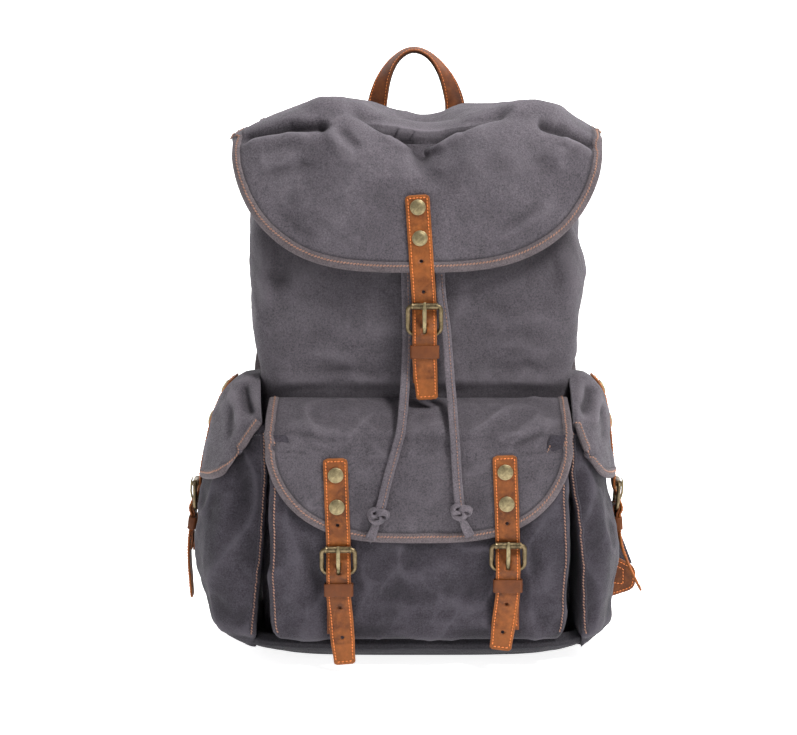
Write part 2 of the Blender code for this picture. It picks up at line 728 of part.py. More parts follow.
def build_handle():
    """Leather grab handle: flat at the feet, turned on edge at the crown."""
    pts = catmull([(-36, 97, 453), (-36.5, 97, 470), (-30, 97, 498), (-19, 97, 517),
                   (-4, 97, 526), (12, 97, 521), (26, 97, 504), (35, 97, 480), (37, 97, 453)], 3)
    stations = []
    for i, p in enumerate(pts):
        t = (pts[min(i + 1, len(pts) - 1)] - pts[max(i - 1, 0)]).normalized()
        k = i / (len(pts) - 1)
        turn = math.radians(80) * math.sin(math.pi * k) ** 2
        face = Vector((0, -1, 0))
        side = t.cross(face).normalized()
        u = side * math.cos(turn) + face * math.sin(turn)
        w = u.cross(t).normalized()
        stations.append((p, u, w, lerp(11.0, 8.5, math.sin(math.pi * k)), 1.9))
    sweep("handle", stations, M["leather"], n=8, origin=(0, 97, 452))


def build_back_straps():
    for side, sx in (("left", -1), ("right", 1)):
        tip = 205.0 if sx > 0 else 192.0
        pts = catmull([(sx * 50, 102, 422), (sx * 55, 114, 427), (sx * 64, 129, 405),
                       (sx * 80, 143, 358), (sx * 100, 149, 298), (sx * 118, 145, 240),
                       (sx * 132, 133, 190), (sx * 140, 124, 165)], 3)
        faces = [(0, 1, 0.55)] + [(0, 1, 0.3)] * (len(pts) - 1)
        n = len(pts)
        half = [lerp(22, 31, smooth01(i / 6.0)) if i < n - 6 else lerp(31, 15, (i - (n - 6)) / 5.0)
                for i in range(n)]
        thick = [4.0 if i in (0, n - 1) else 6.0 for i in range(n)]
        sweep("shoulder_pad_" + side, path_frames(pts, faces, half, thick), M["mesh"],
              n=12, power=3.5, origin=(sx * 50, 100, 422))
        web = catmull([(sx * 131, 123.2, 190), (sx * 141.5, 113.5, 160), (sx * 160, 94, 120),
                       (sx * 178, 78, 80), (sx * (tip - 14), 68.5, 47)], 4)
        axis = Vector((0, 1, 0.45))
        sweep("lower_strap_" + side, path_frames(web, [axis] * len(web), 12.5, 0.9),
              M["webbing"], n=8, origin=(sx * 50, 100, 422))
        # slider: a rectangular sleeve round the webbing
        i = len(web) // 2 + 1
        t = (web[i + 1] - web[i - 1]).normalized()
        u = t.cross(axis).normalized()
        w = u.cross(t).normalized()
        c = web[i]
        rings = []
        for k in (-9.0, 9.0):
            rings.append([c + u * a + w * b + t * k for a, b in squircle(12, 6.0, -15.4, 15.4, -3.9, 3.9)])
        bm = loft(rings, False, False)
        ob = finish("adjuster_" + side, bm, M["brass"], c, smooth=False)
        bm2 = [p for p in ob.data.polygons]
        centre = Vector((0, 0, 0))
        if bm2[0].normal.dot(bm2[0].center - centre) < 0:
            ob.data.flip_normals()
        add_solidify(ob, 1.6, -1.0)
        # leather corner anchor
        y0, y1 = 58.5, 62.5
        x0 = 137.0 if sx > 0 else 140.2
        poly = [(x0, 12), (x0, 82), (lerp(x0, tip, 0.55), 66), (tip - 4, 52), (tip, 46),
                (tip, 34), (tip - 4, 28), (lerp(x0, tip, 0.5), 18)]
        rings = [[Vector((sx * a, y, b)) for a, b in poly] for y in (y0, y1)]
        finish("anchor_" + side, loft(rings), M["leather"], smooth=False)


# -------------------------------------------------------------------- build
clear_scene()
COL = new_collection("travel_backpack")
COL_CUT = new_collection("cutters")
M = {
    "canvas": new_material("waxed_canvas", (0.095, 0.083, 0.086), 0.78),
    "canvas_low": new_material("waxed_canvas_dark", (0.052, 0.046, 0.05), 0.8),
    "lining": new_material("cotton_lining", (0.22, 0.19, 0.15), 0.9),
    "mesh": new_material("padded_mesh", (0.04, 0.037, 0.04), 0.92),
    "leather": new_material("tan_leather", (0.30, 0.096, 0.03), 0.5),
    "leather_dark": new_material("brown_leather", (0.17, 0.058, 0.022), 0.55),
    "brass": new_material("antique_brass", (0.26, 0.2, 0.1), 0.38, 1.0),
    "webbing": new_material("cotton_webbing", (0.07, 0.062, 0.062), 0.9),
    "cord": new_material("canvas_cord", (0.075, 0.066, 0.07), 0.85),
}

build_bag()
build_front_pocket()
build_side_pockets()
build_lid()
build_front_flap()
build_side_flaps()
for strap in make_straps():
    build_strap(strap)
build_drawcord()
build_handle()
build_back_straps()
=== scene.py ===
"""Looks of the travel backpack: waxed canvas, bound seams, leather and brass,
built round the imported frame.  Work figures are millimetres; MM turns them into
the frame's metres.
"""
import math

import bmesh
import bpy
import numpy as np
from mathutils import Matrix, Vector
from mathutils.bvhtree import BVHTree


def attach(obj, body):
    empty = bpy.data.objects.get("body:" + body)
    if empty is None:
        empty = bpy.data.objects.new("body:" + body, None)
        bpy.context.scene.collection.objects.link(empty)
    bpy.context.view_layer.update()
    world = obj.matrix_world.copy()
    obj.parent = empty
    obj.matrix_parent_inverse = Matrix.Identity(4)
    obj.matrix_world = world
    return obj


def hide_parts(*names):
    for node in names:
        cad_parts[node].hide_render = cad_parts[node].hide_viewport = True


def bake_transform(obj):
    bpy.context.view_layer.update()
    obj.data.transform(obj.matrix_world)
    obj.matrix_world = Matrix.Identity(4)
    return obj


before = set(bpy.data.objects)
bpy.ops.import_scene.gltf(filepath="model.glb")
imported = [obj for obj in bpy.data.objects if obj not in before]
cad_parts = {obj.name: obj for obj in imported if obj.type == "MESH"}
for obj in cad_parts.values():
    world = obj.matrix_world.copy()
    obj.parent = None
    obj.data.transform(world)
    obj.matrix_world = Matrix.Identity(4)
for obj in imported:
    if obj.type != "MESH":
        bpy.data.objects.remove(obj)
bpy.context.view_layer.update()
MM = 0.001
SC = bpy.context.scene


# =============================================================== camera, stage
ELEV, DIST = math.radians(8.0), 1.9
TARGET = Vector((-0.016, -0.070, 0.2554))
cam_data = bpy.data.cameras.new("camera")
cam = bpy.data.objects.new("camera", cam_data)
SC.collection.objects.link(cam)
cam.location = TARGET + Vector((0, -math.cos(ELEV), math.sin(ELEV))) * DIST
cam.rotation_euler = (TARGET - cam.location).to_track_quat('-Z', 'Y').to_euler()
cam_data.sensor_width = 36.0
cam_data.lens = DIST / 0.00086 / 797 * 36.0
cam_data.clip_start, cam_data.clip_end = 0.05, 40.0
SC.camera = cam


def area_light(name, loc, aim, size, power, color=(1, 1, 1), size_y=None):
    data = bpy.data.lights.new(name, 'AREA')
    data.energy, data.color, data.size = power, color, size
    if size_y:
        data.shape, data.size_y = 'RECTANGLE', size_y
    ob = bpy.data.objects.new(name, data)
    ob.location = loc
    ob.rotation_euler = (Vector(aim) - Vector(loc)).to_track_quat('-Z', 'Y').to_euler()
    SC.collection.objects.link(ob)
    return ob


area_light("key", (0.95, -0.95, 1.8), (0, -0.05, 0.32), 0.5, 48, (1.0, 0.99, 0.975))
area_light("fill", (-1.7, -1.5, 0.8), (0, 0, 0.25), 1.4, 6, (0.96, 0.98, 1.0))
area_light("top", (0.1, 0.05, 1.9), (0, 0, 0.4), 0.8, 20)
area_light("back_left", (-1.5, 1.3, 0.9), (0, 0, 0.3), 1.0, 10)
area_light("back_right", (1.4, 1.3, 0.9), (0, 0, 0.3), 1.0, 10)

SC.view_settings.view_transform = 'Standard'
world = bpy.data.worlds.new("world")
SC.world = world
world.use_nodes = True
wn = world.node_tree.nodes["Background"]
wn.inputs[0].default_value = (1.0, 1.0, 1.0, 1)
wn.inputs[1].default_value = 0.2


def stage_floor():
    """White paper sweep: a floor and the wall behind it."""
    mat = bpy.data.materials.new("stage_paper")
    mat.use_nodes = True
    b = mat.node_tree.nodes["Principled BSDF"]
    b.inputs["Base Color"].default_value = (0.9, 0.9, 0.9, 1)
    b.inputs["Roughness"].default_value = 0.95
    b.inputs["Specular IOR Level"].default_value = 0.0
    b.inputs["Emission Color"].default_value = (1, 1, 1, 1)
    nt = mat.node_tree
    sep = nt.nodes.new("ShaderNodeSeparateXYZ")
    nt.links.new(nt.nodes.new("ShaderNodeTexCoord").outputs["Object"], sep.inputs[0])
    glow = nt.nodes.new("ShaderNodeMapRange")
    glow.interpolation_type = 'SMOOTHSTEP'
    for k, v in ((1, -1.1), (2, -0.34), (3, 0.12), (4, 0.86)):
        glow.inputs[k].default_value = v
    nt.links.new(sep.outputs["Y"], glow.inputs[0])
    nt.links.new(glow.outputs[0], b.inputs["Emission Strength"])
    for name, rows in (("floor", [(-6, -6, -0.0005), (6, -6, -0.0005), (6, 3.0, -0.0005), (-6, 3.0, -0.0005)]),
                       ("sweep", [(-6, 3.0, -0.0005), (6, 3.0, -0.0005), (6, 3.2, 5.0), (-6, 3.2, 5.0)])):
        me = bpy.data.meshes.new(name)
        me.from_pydata(rows, [], [(0, 1, 2, 3)])
        me.materials.append(mat)
        ob = bpy.data.objects.new(name, me)
        SC.collection.objects.link(ob)


stage_floor()


# ====================================================================== noise
_rs = np.random.RandomState(20)
_PERM = np.tile(_rs.permutation(256), 3)
_GRAD = _rs.normal(size=(256, 3))
_GRAD /= np.linalg.norm(_GRAD, axis=1)[:, None]


def noise(P, scale, seed=0.0):
    """Smooth gradient noise, about -1 to 1, one value per point."""
    shape = np.asarray(P).shape[:-1]
    Q = np.asarray(P, float).reshape(-1, 3) / scale + seed * 17.31 + 40.7
    I = np.floor(Q).astype(int)
    F = Q - I
    W = F * F * F * (F * (F * 6 - 15) + 10)
    out = np.zeros(len(Q))
    for dx in (0, 1):
        for dy in (0, 1):
            for dz in (0, 1):
                h = _PERM[_PERM[_PERM[(I[:, 0] + dx) & 255] + ((I[:, 1] + dy) & 255)] + ((I[:, 2] + dz) & 255)]
                w = ((W[:, 0] if dx else 1 - W[:, 0]) * (W[:, 1] if dy else 1 - W[:, 1])
                     * (W[:, 2] if dz else 1 - W[:, 2]))
                out += w * (_GRAD[h] * (F - np.array([dx, dy, dz]))).sum(1)
    return (out * 1.55).reshape(shape)


def folds(P, scale, seed=0.0, sharp=2.0):
    """Ridges with soft valleys between them, 0 to 1."""
    W = P + 0.35 * scale * np.stack([noise(P, scale * 1.4, seed + 3), noise(P, scale * 1.4, seed + 4),
                                     noise(P, scale * 1.4, seed + 5)], -1)
    return (1 - np.minimum(1, np.abs(noise(W, scale, seed)) * 1.6)) ** sharp


def sm(t):
    t = np.clip(t, 0, 1)
    return t * t * (3 - 2 * t)


def crease(A, B, pts, width, depth, taper=0.3):
    """Displacement of one fold drawn as a line of (a, b) points."""
    pts = np.asarray(pts, float)
    seg = pts[1:] - pts[:-1]
    ln = np.hypot(seg[:, 0], seg[:, 1])
    total, run = ln.sum(), 0.0
    best = np.full(A.shape, 1e9)
    where = np.zeros(A.shape)
    for p, d, l in zip(pts[:-1], seg, ln):
        t = np.clip(((A - p[0]) * d[0] + (B - p[1]) * d[1]) / (l * l), 0, 1)
        dist = np.hypot(A - p[0] - t * d[0], B - p[1] - t * d[1])
        near = dist < best
        best = np.where(near, dist, best)
        where = np.where(near, (run + t * l) / total, where)
        run += l
    return depth * np.exp(-(best / width) ** 2) * sm(where / taper) * sm((1 - where) / taper)


# ================================================================== materials
def _mat(name):
    mat = bpy.data.materials.new(name)
    mat.use_nodes = True
    nt = mat.node_tree
    return mat, nt, nt.nodes["Principled BSDF"]


def _n(nt, kind, **kw):
    node = nt.nodes.new(kind)
    for k, v in kw.items():
        if k in node.inputs.keys() if isinstance(k, str) else False:
            node.inputs[k].default_value = v
        else:
            setattr(node, k, v)
    return node


def _tex(nt, kind, vec, **inputs):
    node = nt.nodes.new(kind)
    nt.links.new(vec, node.inputs["Vector"])
    for k, v in inputs.items():
        node.inputs[k].default_value = v
    return node


def _ramp(nt, src, stops):
    node = nt.nodes.new("ShaderNodeValToRGB")
    el = node.color_ramp.elements
    while len(el) < len(stops):
        el.new(0.5)
    for e, (p, c) in zip(el, stops):
        e.position = p
        e.color = (*c, 1) if len(c) == 3 else c
    nt.links.new(src, node.inputs[0])
    return node.outputs[0]


def _mix(nt, fac, a, b, mode='MIX'):
    node = nt.nodes.new("ShaderNodeMix")
    node.data_type, node.blend_type = 'RGBA', mode
    for sock, v in ((node.inputs[0], fac), (node.inputs[6], a), (node.inputs[7], b)):
        if hasattr(v, "links"):
            nt.links.new(v, sock)
        elif isinstance(v, (int, float)):
            sock.default_value = v
        else:
            sock.default_value = (*v, 1)
    return node.outputs[2]


def _math(nt, op, a, b=0.0, clamp=False):
    node = nt.nodes.new("ShaderNodeMath")
    node.operation, node.use_clamp = op, clamp
    for sock, v in ((node.inputs[0], a), (node.inputs[1], b)):
        if hasattr(v, "links"):
            nt.links.new(v, sock)
        else:
            sock.default_value = v
    return node.outputs[0]


def _bump(nt, height, dist, strength=1.0, normal=None):
    node = nt.nodes.new("ShaderNodeBump")
    node.inputs["Strength"].default_value = strength
    node.inputs["Distance"].default_value = dist
    nt.links.new(height, node.inputs["Height"])
    if normal is not None:
        nt.links.new(normal, node.inputs["Normal"])
    return node.outputs[0]


def canvas_material(name, base, light, dark, weave=1.0, rough=0.8, speck=1.0, pitch=0.00105):
    """Waxed cotton canvas: cross weave, pull-up clouds, chalky fold marks plus painted highlight on ridges, and painted
    shade from the shade attribute.
    """
    mat, nt, bsdf = _mat(name)
    tc = nt.nodes.new("ShaderNodeTexCoord")
    obj, uv = tc.outputs["Object"], tc.outputs["UV"]
    clouds = _tex(nt, "ShaderNodeTexNoise", obj, Scale=13.0, Detail=5.0, Roughness=0.55, Distortion=0.6)
    mott = _tex(nt, "ShaderNodeTexNoise", obj, Scale=62.0, Detail=6.0, Roughness=0.62, Distortion=0.3)
    fibre = _tex(nt, "ShaderNodeTexNoise", obj, Scale=640.0, Detail=3.0, Roughness=0.7)
    grain = _tex(nt, "ShaderNodeTexNoise", obj, Scale=1150.0, Detail=2.0, Roughness=0.6)
    col = _ramp(nt, clouds.outputs["Fac"], [(0.2, dark), (0.5, base), (0.82, light)])
    col = _mix(nt, 0.4, col, _ramp(nt, mott.outputs["Fac"], [(0.22, dark), (0.5, base), (0.8, light)]))
    spk = _ramp(nt, fibre.outputs["Fac"], [(0.34, (0.5, 0.5, 0.52)), (0.5, (1, 1, 1)), (0.64, (1.28, 1.27, 1.27))])
    col = _mix(nt, 0.75 * speck, col, spk, 'MULTIPLY')
    spk2 = _ramp(nt, grain.outputs["Fac"], [(0.36, (0.55, 0.55, 0.57)), (0.5, (1, 1, 1)), (0.62, (1.25, 1.24, 1.24))])
    col = _mix(nt, 0.6 * speck, col, spk2, 'MULTIPLY')
    # lighter where the attribute says: real chalky crease marks, plus painted highlight on the ridges
    att = nt.nodes.new("ShaderNodeAttribute")
    att.attribute_name = "wear_and_highlight"
    col = _mix(nt, _math(nt, 'MULTIPLY', att.outputs["Fac"], 0.4, True), col, tuple(min(1, c * 1.5) for c in light))
    # darker where the shade attribute says: painted shade in hollows, creases, under overhangs and beside tapes
    dk = nt.nodes.new("ShaderNodeAttribute")
    dk.attribute_name = "shade"
    col = _mix(nt, _math(nt, 'MULTIPLY', dk.outputs["Fac"], 0.55, True), col, tuple(c * 0.45 for c in dark))
    nt.links.new(col, bsdf.inputs["Base Color"])
    mp = nt.nodes.new("ShaderNodeMapping")
    nt.links.new(uv, mp.inputs["Vector"])
    wa = _tex(nt, "ShaderNodeTexWave", mp.outputs[0], Scale=0.314 / pitch, Distortion=0.35, Detail=1.0)
    wa.bands_direction = 'X'
    wa.inputs["Detail Scale"].default_value = 2.0
    wb = _tex(nt, "ShaderNodeTexWave", mp.outputs[0], Scale=0.314 / pitch, Distortion=0.35, Detail=1.0)
    wb.bands_direction = 'Y'
    cross = _math(nt, 'MULTIPLY', wa.outputs["Fac"], wb.outputs["Fac"])
    n1 = _bump(nt, cross, 0.00028 * weave, 0.9)
    n2 = _bump(nt, fibre.outputs["Fac"], 0.0005 * weave, 0.8, n1)
    n3 = _bump(nt, mott.outputs["Fac"], 0.0012, 0.4, n2)
    nt.links.new(n3, bsdf.inputs["Normal"])
    rg = _ramp(nt, mott.outputs["Fac"], [(0.3, (rough - 0.1,) * 3), (0.7, (min(1, rough + 0.08),) * 3)])
    nt.links.new(rg, bsdf.inputs["Roughness"])
    bsdf.inputs["Specular IOR Level"].default_value = 0.2
    bsdf.inputs["Sheen Weight"].default_value = 0.06
    bsdf.inputs["Sheen Roughness"].default_value = 0.45
    bsdf.inputs["Sheen Tint"].default_value = (0.86, 0.85, 0.9, 1)
    return mat


def leather_material(name, tan, dark, bright, rough=0.46):
    """Pull-up leather: smoky centre, burnished bright edges, pores, creases."""
    mat, nt, bsdf = _mat(name)
    tc = nt.nodes.new("ShaderNodeTexCoord")
    obj = tc.outputs["Object"]
    big = _tex(nt, "ShaderNodeTexNoise", obj, Scale=38.0, Detail=5.0, Roughness=0.6, Distortion=0.4)
    mid = _tex(nt, "ShaderNodeTexNoise", obj, Scale=190.0, Detail=5.0, Roughness=0.65)
    pore = _tex(nt, "ShaderNodeTexVoronoi", obj, Scale=1500.0)
    vein = _tex(nt, "ShaderNodeTexNoise", obj, Scale=420.0, Detail=4.0, Roughness=0.7, Distortion=1.2)
    col = _ramp(nt, big.outputs["Fac"], [(0.3, dark), (0.5, tan), (0.72, bright)])
    col = _mix(nt, 0.42, col, _ramp(nt, mid.outputs["Fac"], [(0.33, dark), (0.52, tan), (0.7, bright)]))
    edge = nt.nodes.new("ShaderNodeAttribute")
    edge.attribute_name = "edge"
    col = _mix(nt, _math(nt, 'MULTIPLY', edge.outputs["Fac"], 0.4, True), col, bright)
    # darker where the shade attribute says: painted shade
    dk = nt.nodes.new("ShaderNodeAttribute")
    dk.attribute_name = "shade"
    col = _mix(nt, _math(nt, 'MULTIPLY', dk.outputs["Fac"], 0.8, True), col, tuple(c * 0.35 for c in dark))
    nt.links.new(col, bsdf.inputs["Base Color"])
    n1 = _bump(nt, pore.outputs["Distance"], 0.00016, 0.5)
    n2 = _bump(nt, vein.outputs["Fac"], 0.0005, 0.45, n1)
    n3 = _bump(nt, mid.outputs["Fac"], 0.0009, 0.45, n2)
    nt.links.new(n3, bsdf.inputs["Normal"])
    nt.links.new(_ramp(nt, mid.outputs["Fac"], [(0.3, (rough - 0.08,) * 3), (0.72, (rough + 0.14,) * 3)]),
                 bsdf.inputs["Roughness"])
    bsdf.inputs["Specular IOR Level"].default_value = 0.22
    return mat


def brass_material(name, bright, dark, rough=0.34, balance=0.5):
    """Antiqued brass: dark patina in the hollows, worn bright on the edges."""
    mat, nt, bsdf = _mat(name)
    tc = nt.nodes.new("ShaderNodeTexCoord")
    geo = nt.nodes.new("ShaderNodeNewGeometry")
    a = _tex(nt, "ShaderNodeTexNoise", tc.outputs["Object"], Scale=260.0, Detail=6.0, Roughness=0.65, Distortion=0.5)
    b = _tex(nt, "ShaderNodeTexNoise", tc.outputs["Object"], Scale=1400.0, Detail=3.0, Roughness=0.7)
    tip = _ramp(nt, geo.outputs["Pointiness"], [(0.49, (0, 0, 0)), (0.56, (1, 1, 1))])
    col = _ramp(nt, a.outputs["Fac"], [(balance - 0.16, dark), (balance + 0.14, bright)])
    col = _mix(nt, _math(nt, 'MULTIPLY', tip, 0.6), col, tuple(min(1, c * 1.25) for c in bright))
    nt.links.new(col, bsdf.inputs["Base Color"])
    bsdf.inputs["Metallic"].default_value = 1.0
    nt.links.new(_ramp(nt, a.outputs["Fac"], [(0.3, (rough + 0.2,) * 3), (0.66, (rough,) * 3)]),
                 bsdf.inputs["Roughness"])
    nt.links.new(_bump(nt, b.outputs["Fac"], 0.00012, 0.5), bsdf.inputs["Normal"])
    return mat


def thread_material(name, color):
    mat, nt, bsdf = _mat(name)
    tc = nt.nodes.new("ShaderNodeTexCoord")
    a = _tex(nt, "ShaderNodeTexNoise", tc.outputs["Object"], Scale=900.0, Detail=2.0)
    w = _tex(nt, "ShaderNodeTexWave", tc.outputs["Object"], Scale=900.0, Distortion=2.0)
    col = _ramp(nt, a.outputs["Fac"], [(0.3, tuple(c * 0.6 for c in color)), (0.6, color),
                                        (0.8, tuple(min(1, c * 1.25) for c in color))])
    nt.links.new(col, bsdf.inputs["Base Color"])
    nt.links.new(_bump(nt, w.outputs["Fac"], 0.00012, 0.6), bsdf.inputs["Normal"])
    bsdf.inputs["Roughness"].default_value = 0.62
    return mat


def lin(r, g, b):
    return tuple(((c / 255) / 12.92 if c / 255 < 0.04045 else ((c / 255 + 0.055) / 1.055) ** 2.4) for c in (r, g, b))


CANVAS = canvas_material("waxed_canvas", lin(84, 79, 85), lin(100, 95, 101), lin(66, 62, 67))
# the same canvas darkened: painted shade for the front and side pockets low on the bag
CANVAS_SHADED_LOW = canvas_material("waxed_canvas_low_shaded", lin(55, 51, 58), lin(71, 67, 74), lin(39, 37, 42))
# the same canvas darker still: painted shade for the underside of the bag
CANVAS_SHADED_BASE = canvas_material("waxed_canvas_base_shaded", lin(40, 38, 43), lin(50, 47, 52), lin(30, 28, 32))
BINDING = canvas_material("binding_tape", lin(98, 90, 93), lin(116, 106, 108), lin(76, 69, 72), 1.2, 0.82, 0.8, 0.0008)
CORD = canvas_material("cord_canvas", lin(100, 94, 100), lin(122, 114, 120), lin(76, 71, 77), 1.2, 0.82, 0.8, 0.0008)
LINING = canvas_material("cotton_lining", lin(146, 132, 112), lin(166, 152, 130), lin(118, 106, 90), 0.7, 0.9, 0.5, 0.0008)
MESH = canvas_material("spacer_mesh", lin(58, 55, 60), lin(74, 70, 76), lin(40, 38, 42), 2.0, 0.88, 1.0, 0.0026)
WEB = canvas_material("cotton_webbing", lin(78, 72, 78), lin(96, 90, 96), lin(56, 52, 58), 2.2, 0.86, 0.8, 0.0017)
UNDER = canvas_material("handle_back", lin(58, 43, 36), lin(74, 58, 49), lin(38, 29, 25), 1.6, 0.85, 1.0, 0.0012)
TAN = leather_material("tan_leather", lin(112, 62, 28), lin(54, 29, 15), lin(158, 92, 42))
BROWN = leather_material("brown_leather", lin(88, 47, 24), lin(48, 26, 15), lin(126, 71, 36), 0.5)
HIDE = leather_material("raw_leather_edge", lin(96, 54, 29), lin(58, 32, 18), lin(130, 75, 40), 0.62)
BRASS = brass_material("antique_brass", (0.2, 0.152, 0.085), (0.03, 0.025, 0.017), 0.34, 0.54)
BRASS_CAP = brass_material("antique_brass_cap", (0.28, 0.23, 0.13), (0.12, 0.1, 0.056), 0.42, 0.46)
THREAD = thread_material("orange_thread", lin(230, 128, 56))
THREAD_PALE = thread_material("tan_thread", lin(158, 118, 99))
THREAD_GREY = thread_material("grey_thread", lin(104, 98, 104))


# ============================================================ geometry helpers
def norm(v):
    v = np.asarray(v, float)
    return v / np.maximum(np.linalg.norm(v, axis=-1, keepdims=True), 1e-9)


def grid_normals(P, wrap=False, sign=1.0):
    du = (np.roll(P, -1, 1) - np.roll(P, 1, 1)) if wrap else np.gradient(P, axis=1)
    dv = np.gradient(P, axis=0)
    return norm(np.cross(du, dv)) * sign


def link(name, verts, faces, mat, smooth=True, attrs=None, uvs=None):
    me = bpy.data.meshes.new(name)
    me.from_pydata([tuple(v) for v in np.asarray(verts, float) * MM], [], [tuple(int(i) for i in f) for f in faces])
    me.update()
    if uvs is not None:
        layer = me.uv_layers.new(name="UVMap")
        layer.data.foreach_set("uv", np.asarray(uvs, np.float32).ravel())
    for key, values in (attrs or {}).items():
        at = me.attributes.new(key, 'FLOAT', 'POINT')
        at.data.foreach_set("value", np.asarray(values, np.float32).ravel())
    me.materials.append(mat)
    if smooth:
        me.shade_smooth()
    ob = bpy.data.objects.new(name, me)
    SC.collection.objects.link(ob)
    return ob


def grid(name, P, mat, wrap=False, close=False, caps=False, toward=None, thick=None, attrs=None):
    """Surface over rows and columns of points.  toward is where its outer side
    looks; a closed one is turned outwards by itself."""
    P = np.asarray(P, float)
    r, c = P.shape[:2]
    idx = np.arange(r * c).reshape(r, c)
    rows = np.arange(r) if close else np.arange(r - 1)
    cols = np.arange(c) if wrap else np.arange(c - 1)
    I, J = np.meshgrid(rows, cols, indexing="ij")
    I2, J2 = (I + 1) % r, (J + 1) % c
    quads = np.stack([idx[I, J], idx[I, J2], idx[I2, J2], idx[I2, J]], -1).reshape(-1, 4)
    lu = np.concatenate([[0], np.cumsum(np.linalg.norm(np.diff(P, axis=1), axis=2).mean(0))])
    lv = np.concatenate([[0], np.cumsum(np.linalg.norm(np.diff(P, axis=0), axis=2).mean(1))])
    if wrap:
        lu = np.append(lu, lu[-1] + np.linalg.norm(P[:, 0] - P[:, -1], axis=1).mean())
    if close:
        lv = np.append(lv, lv[-1] + np.linalg.norm(P[0] - P[-1], axis=1).mean())
    uv = np.stack([np.stack([lu[J], lv[I]], -1), np.stack([lu[J + 1], lv[I]], -1),
                   np.stack([lu[J + 1], lv[I + 1]], -1), np.stack([lu[J], lv[I + 1]], -1)], -2).reshape(-1, 4, 2) * MM
    V = P.reshape(-1, 3)
    a, b, d = V[quads[:, 0]], V[quads[:, 1]], V[quads[:, 3]]
    nrm = np.cross(b - a, d - a)
    cen = V[quads].mean(1)
    if toward is not None:
        flip = (nrm @ np.asarray(toward, float)).sum() < 0
    elif close or wrap:
        vol = np.einsum("ij,ij->i", cen - V.mean(0), nrm).sum()
        flip = vol < 0
    else:
        flip = False
    if flip:
        quads, uv = quads[:, ::-1], uv[:, ::-1]
    faces = [tuple(q) for q in quads]
    uvs = uv.reshape(-1, 2)
    if caps and not close:
        first, last = list(idx[0]), list(idx[-1])
        faces += [first[::-1] if not flip else first, last if not flip else last[::-1]]
        uvs = np.vstack([uvs, np.zeros((2 * c, 2))])
    ob = link(name, V, faces, mat, True, {k: np.asarray(v).ravel() for k, v in (attrs or {}).items()}, uvs)
    if thick:
        mod = ob.modifiers.new("thickness", 'SOLIDIFY')
        mod.thickness, mod.offset = thick * MM, -1.0
        mod.use_quality_normals = True
    return ob


class Skin:
    """Nearest-point lookups on a surface, so trims lie on their cloth."""

    def __init__(self, P, toward, wrap=False):
        P = np.asarray(P, float)
        r, c = P.shape[:2]
        idx = np.arange(r * c).reshape(r, c)
        a, b = idx[:-1, :-1], idx[:-1, 1:]
        d, e = idx[1:, 1:], idx[1:, :-1]
        F = np.stack([a, b, d, e], -1).reshape(-1, 4)
        if wrap:
            F = np.vstack([F, np.stack([idx[:-1, -1], idx[:-1, 0], idx[1:, 0], idx[1:, -1]], -1)])
        V = P.reshape(-1, 3)
        n = np.cross(V[F[:, 1]] - V[F[:, 0]], V[F[:, 3]] - V[F[:, 0]])
        if wrap:
            s = np.einsum("ij,ij->i", V[F].mean(1) - V.mean(0), n).sum()
        else:
            s = (n @ np.asarray(toward, float)).sum()
        if s < 0:
            F = F[:, ::-1]
        self.tree = BVHTree.FromPolygons([Vector(v) for v in V], [tuple(int(i) for i in f) for f in F])

    def snap(self, pts, lift=0.0):
        out, nor = [], []
        for p in np.asarray(pts, float).reshape(-1, 3):
            loc, n, _, _ = self.tree.find_nearest(Vector(p))
            nor.append(n)
            out.append(loc)
        out, nor = np.array(out, float), norm(np.array(nor, float))
        k = np.ones(3) / 3
        if len(nor) > 6:
            nn = np.stack([np.convolve(nor[:, i], k, 'same') for i in range(3)], -1)
            nor[1:-1] = norm(nn)[1:-1]
        return out + nor * np.asarray(lift, float).reshape(-1, 1), nor


def resample(P, step=None, count=None, closed=False):
    P = np.asarray(P, float)
    if closed:
        P = np.vstack([P, P[:1]])
    d = np.concatenate([[0], np.cumsum(np.linalg.norm(np.diff(P, axis=0), axis=1))])
    n = count or max(2, int(round(d[-1] / step)) + 1)
    t = np.linspace(0, d[-1], n + 1)[:-1] if closed else np.linspace(0, d[-1], n)
    return np.stack([np.interp(t, d, P[:, i]) for i in range(P.shape[1])], -1)


def catmull(points, per):
    pts = np.asarray(points, float)
    ext = np.vstack([pts[0] * 2 - pts[1], pts, pts[-1] * 2 - pts[-2]])
    out = []
    for i in range(1, len(ext) - 2):
        p0, p1, p2, p3 = ext[i - 1:i + 3]
        for k in range(per):
            t = k / per
            out.append(0.5 * ((2 * p1) + (p2 - p0) * t + (2 * p0 - 5 * p1 + 4 * p2 - p3) * t * t
                              + (3 * p1 - p0 - 3 * p2 + p3) * t ** 3))
    out.append(pts[-1])
    return np.array(out)


def tangents(C, closed=False):
    if closed:
        return norm(np.roll(C, -1, 0) - np.roll(C, 1, 0))
    return norm(np.gradient(C, axis=0))


def sweep(name, C, U, N, prof, mat, su=None, sn=None, closed=False, attrs=None, caps=True):
    """Bar of one cross-section run along C; U across it, N out of its face."""
    C, U, N = np.asarray(C, float), np.asarray(U, float), np.asarray(N, float)
    prof = np.asarray(prof, float)
    su = np.ones(len(C)) if su is None else np.asarray(su, float)
    sn = np.ones(len(C)) if sn is None else np.asarray(sn, float)
    P = (C[:, None] + U[:, None] * (prof[None, :, 0:1] * su[:, None, None])
         + N[:, None] * (prof[None, :, 1:2] * sn[:, None, None]))
    ob = grid(name, P, mat, wrap=True, close=closed, caps=caps and not closed, attrs=attrs)
    bm = bmesh.new()
    bm.from_mesh(ob.data)
    bmesh.ops.recalc_face_normals(bm, faces=bm.faces)
    bm.to_mesh(ob.data)
    bm.free()
    return ob


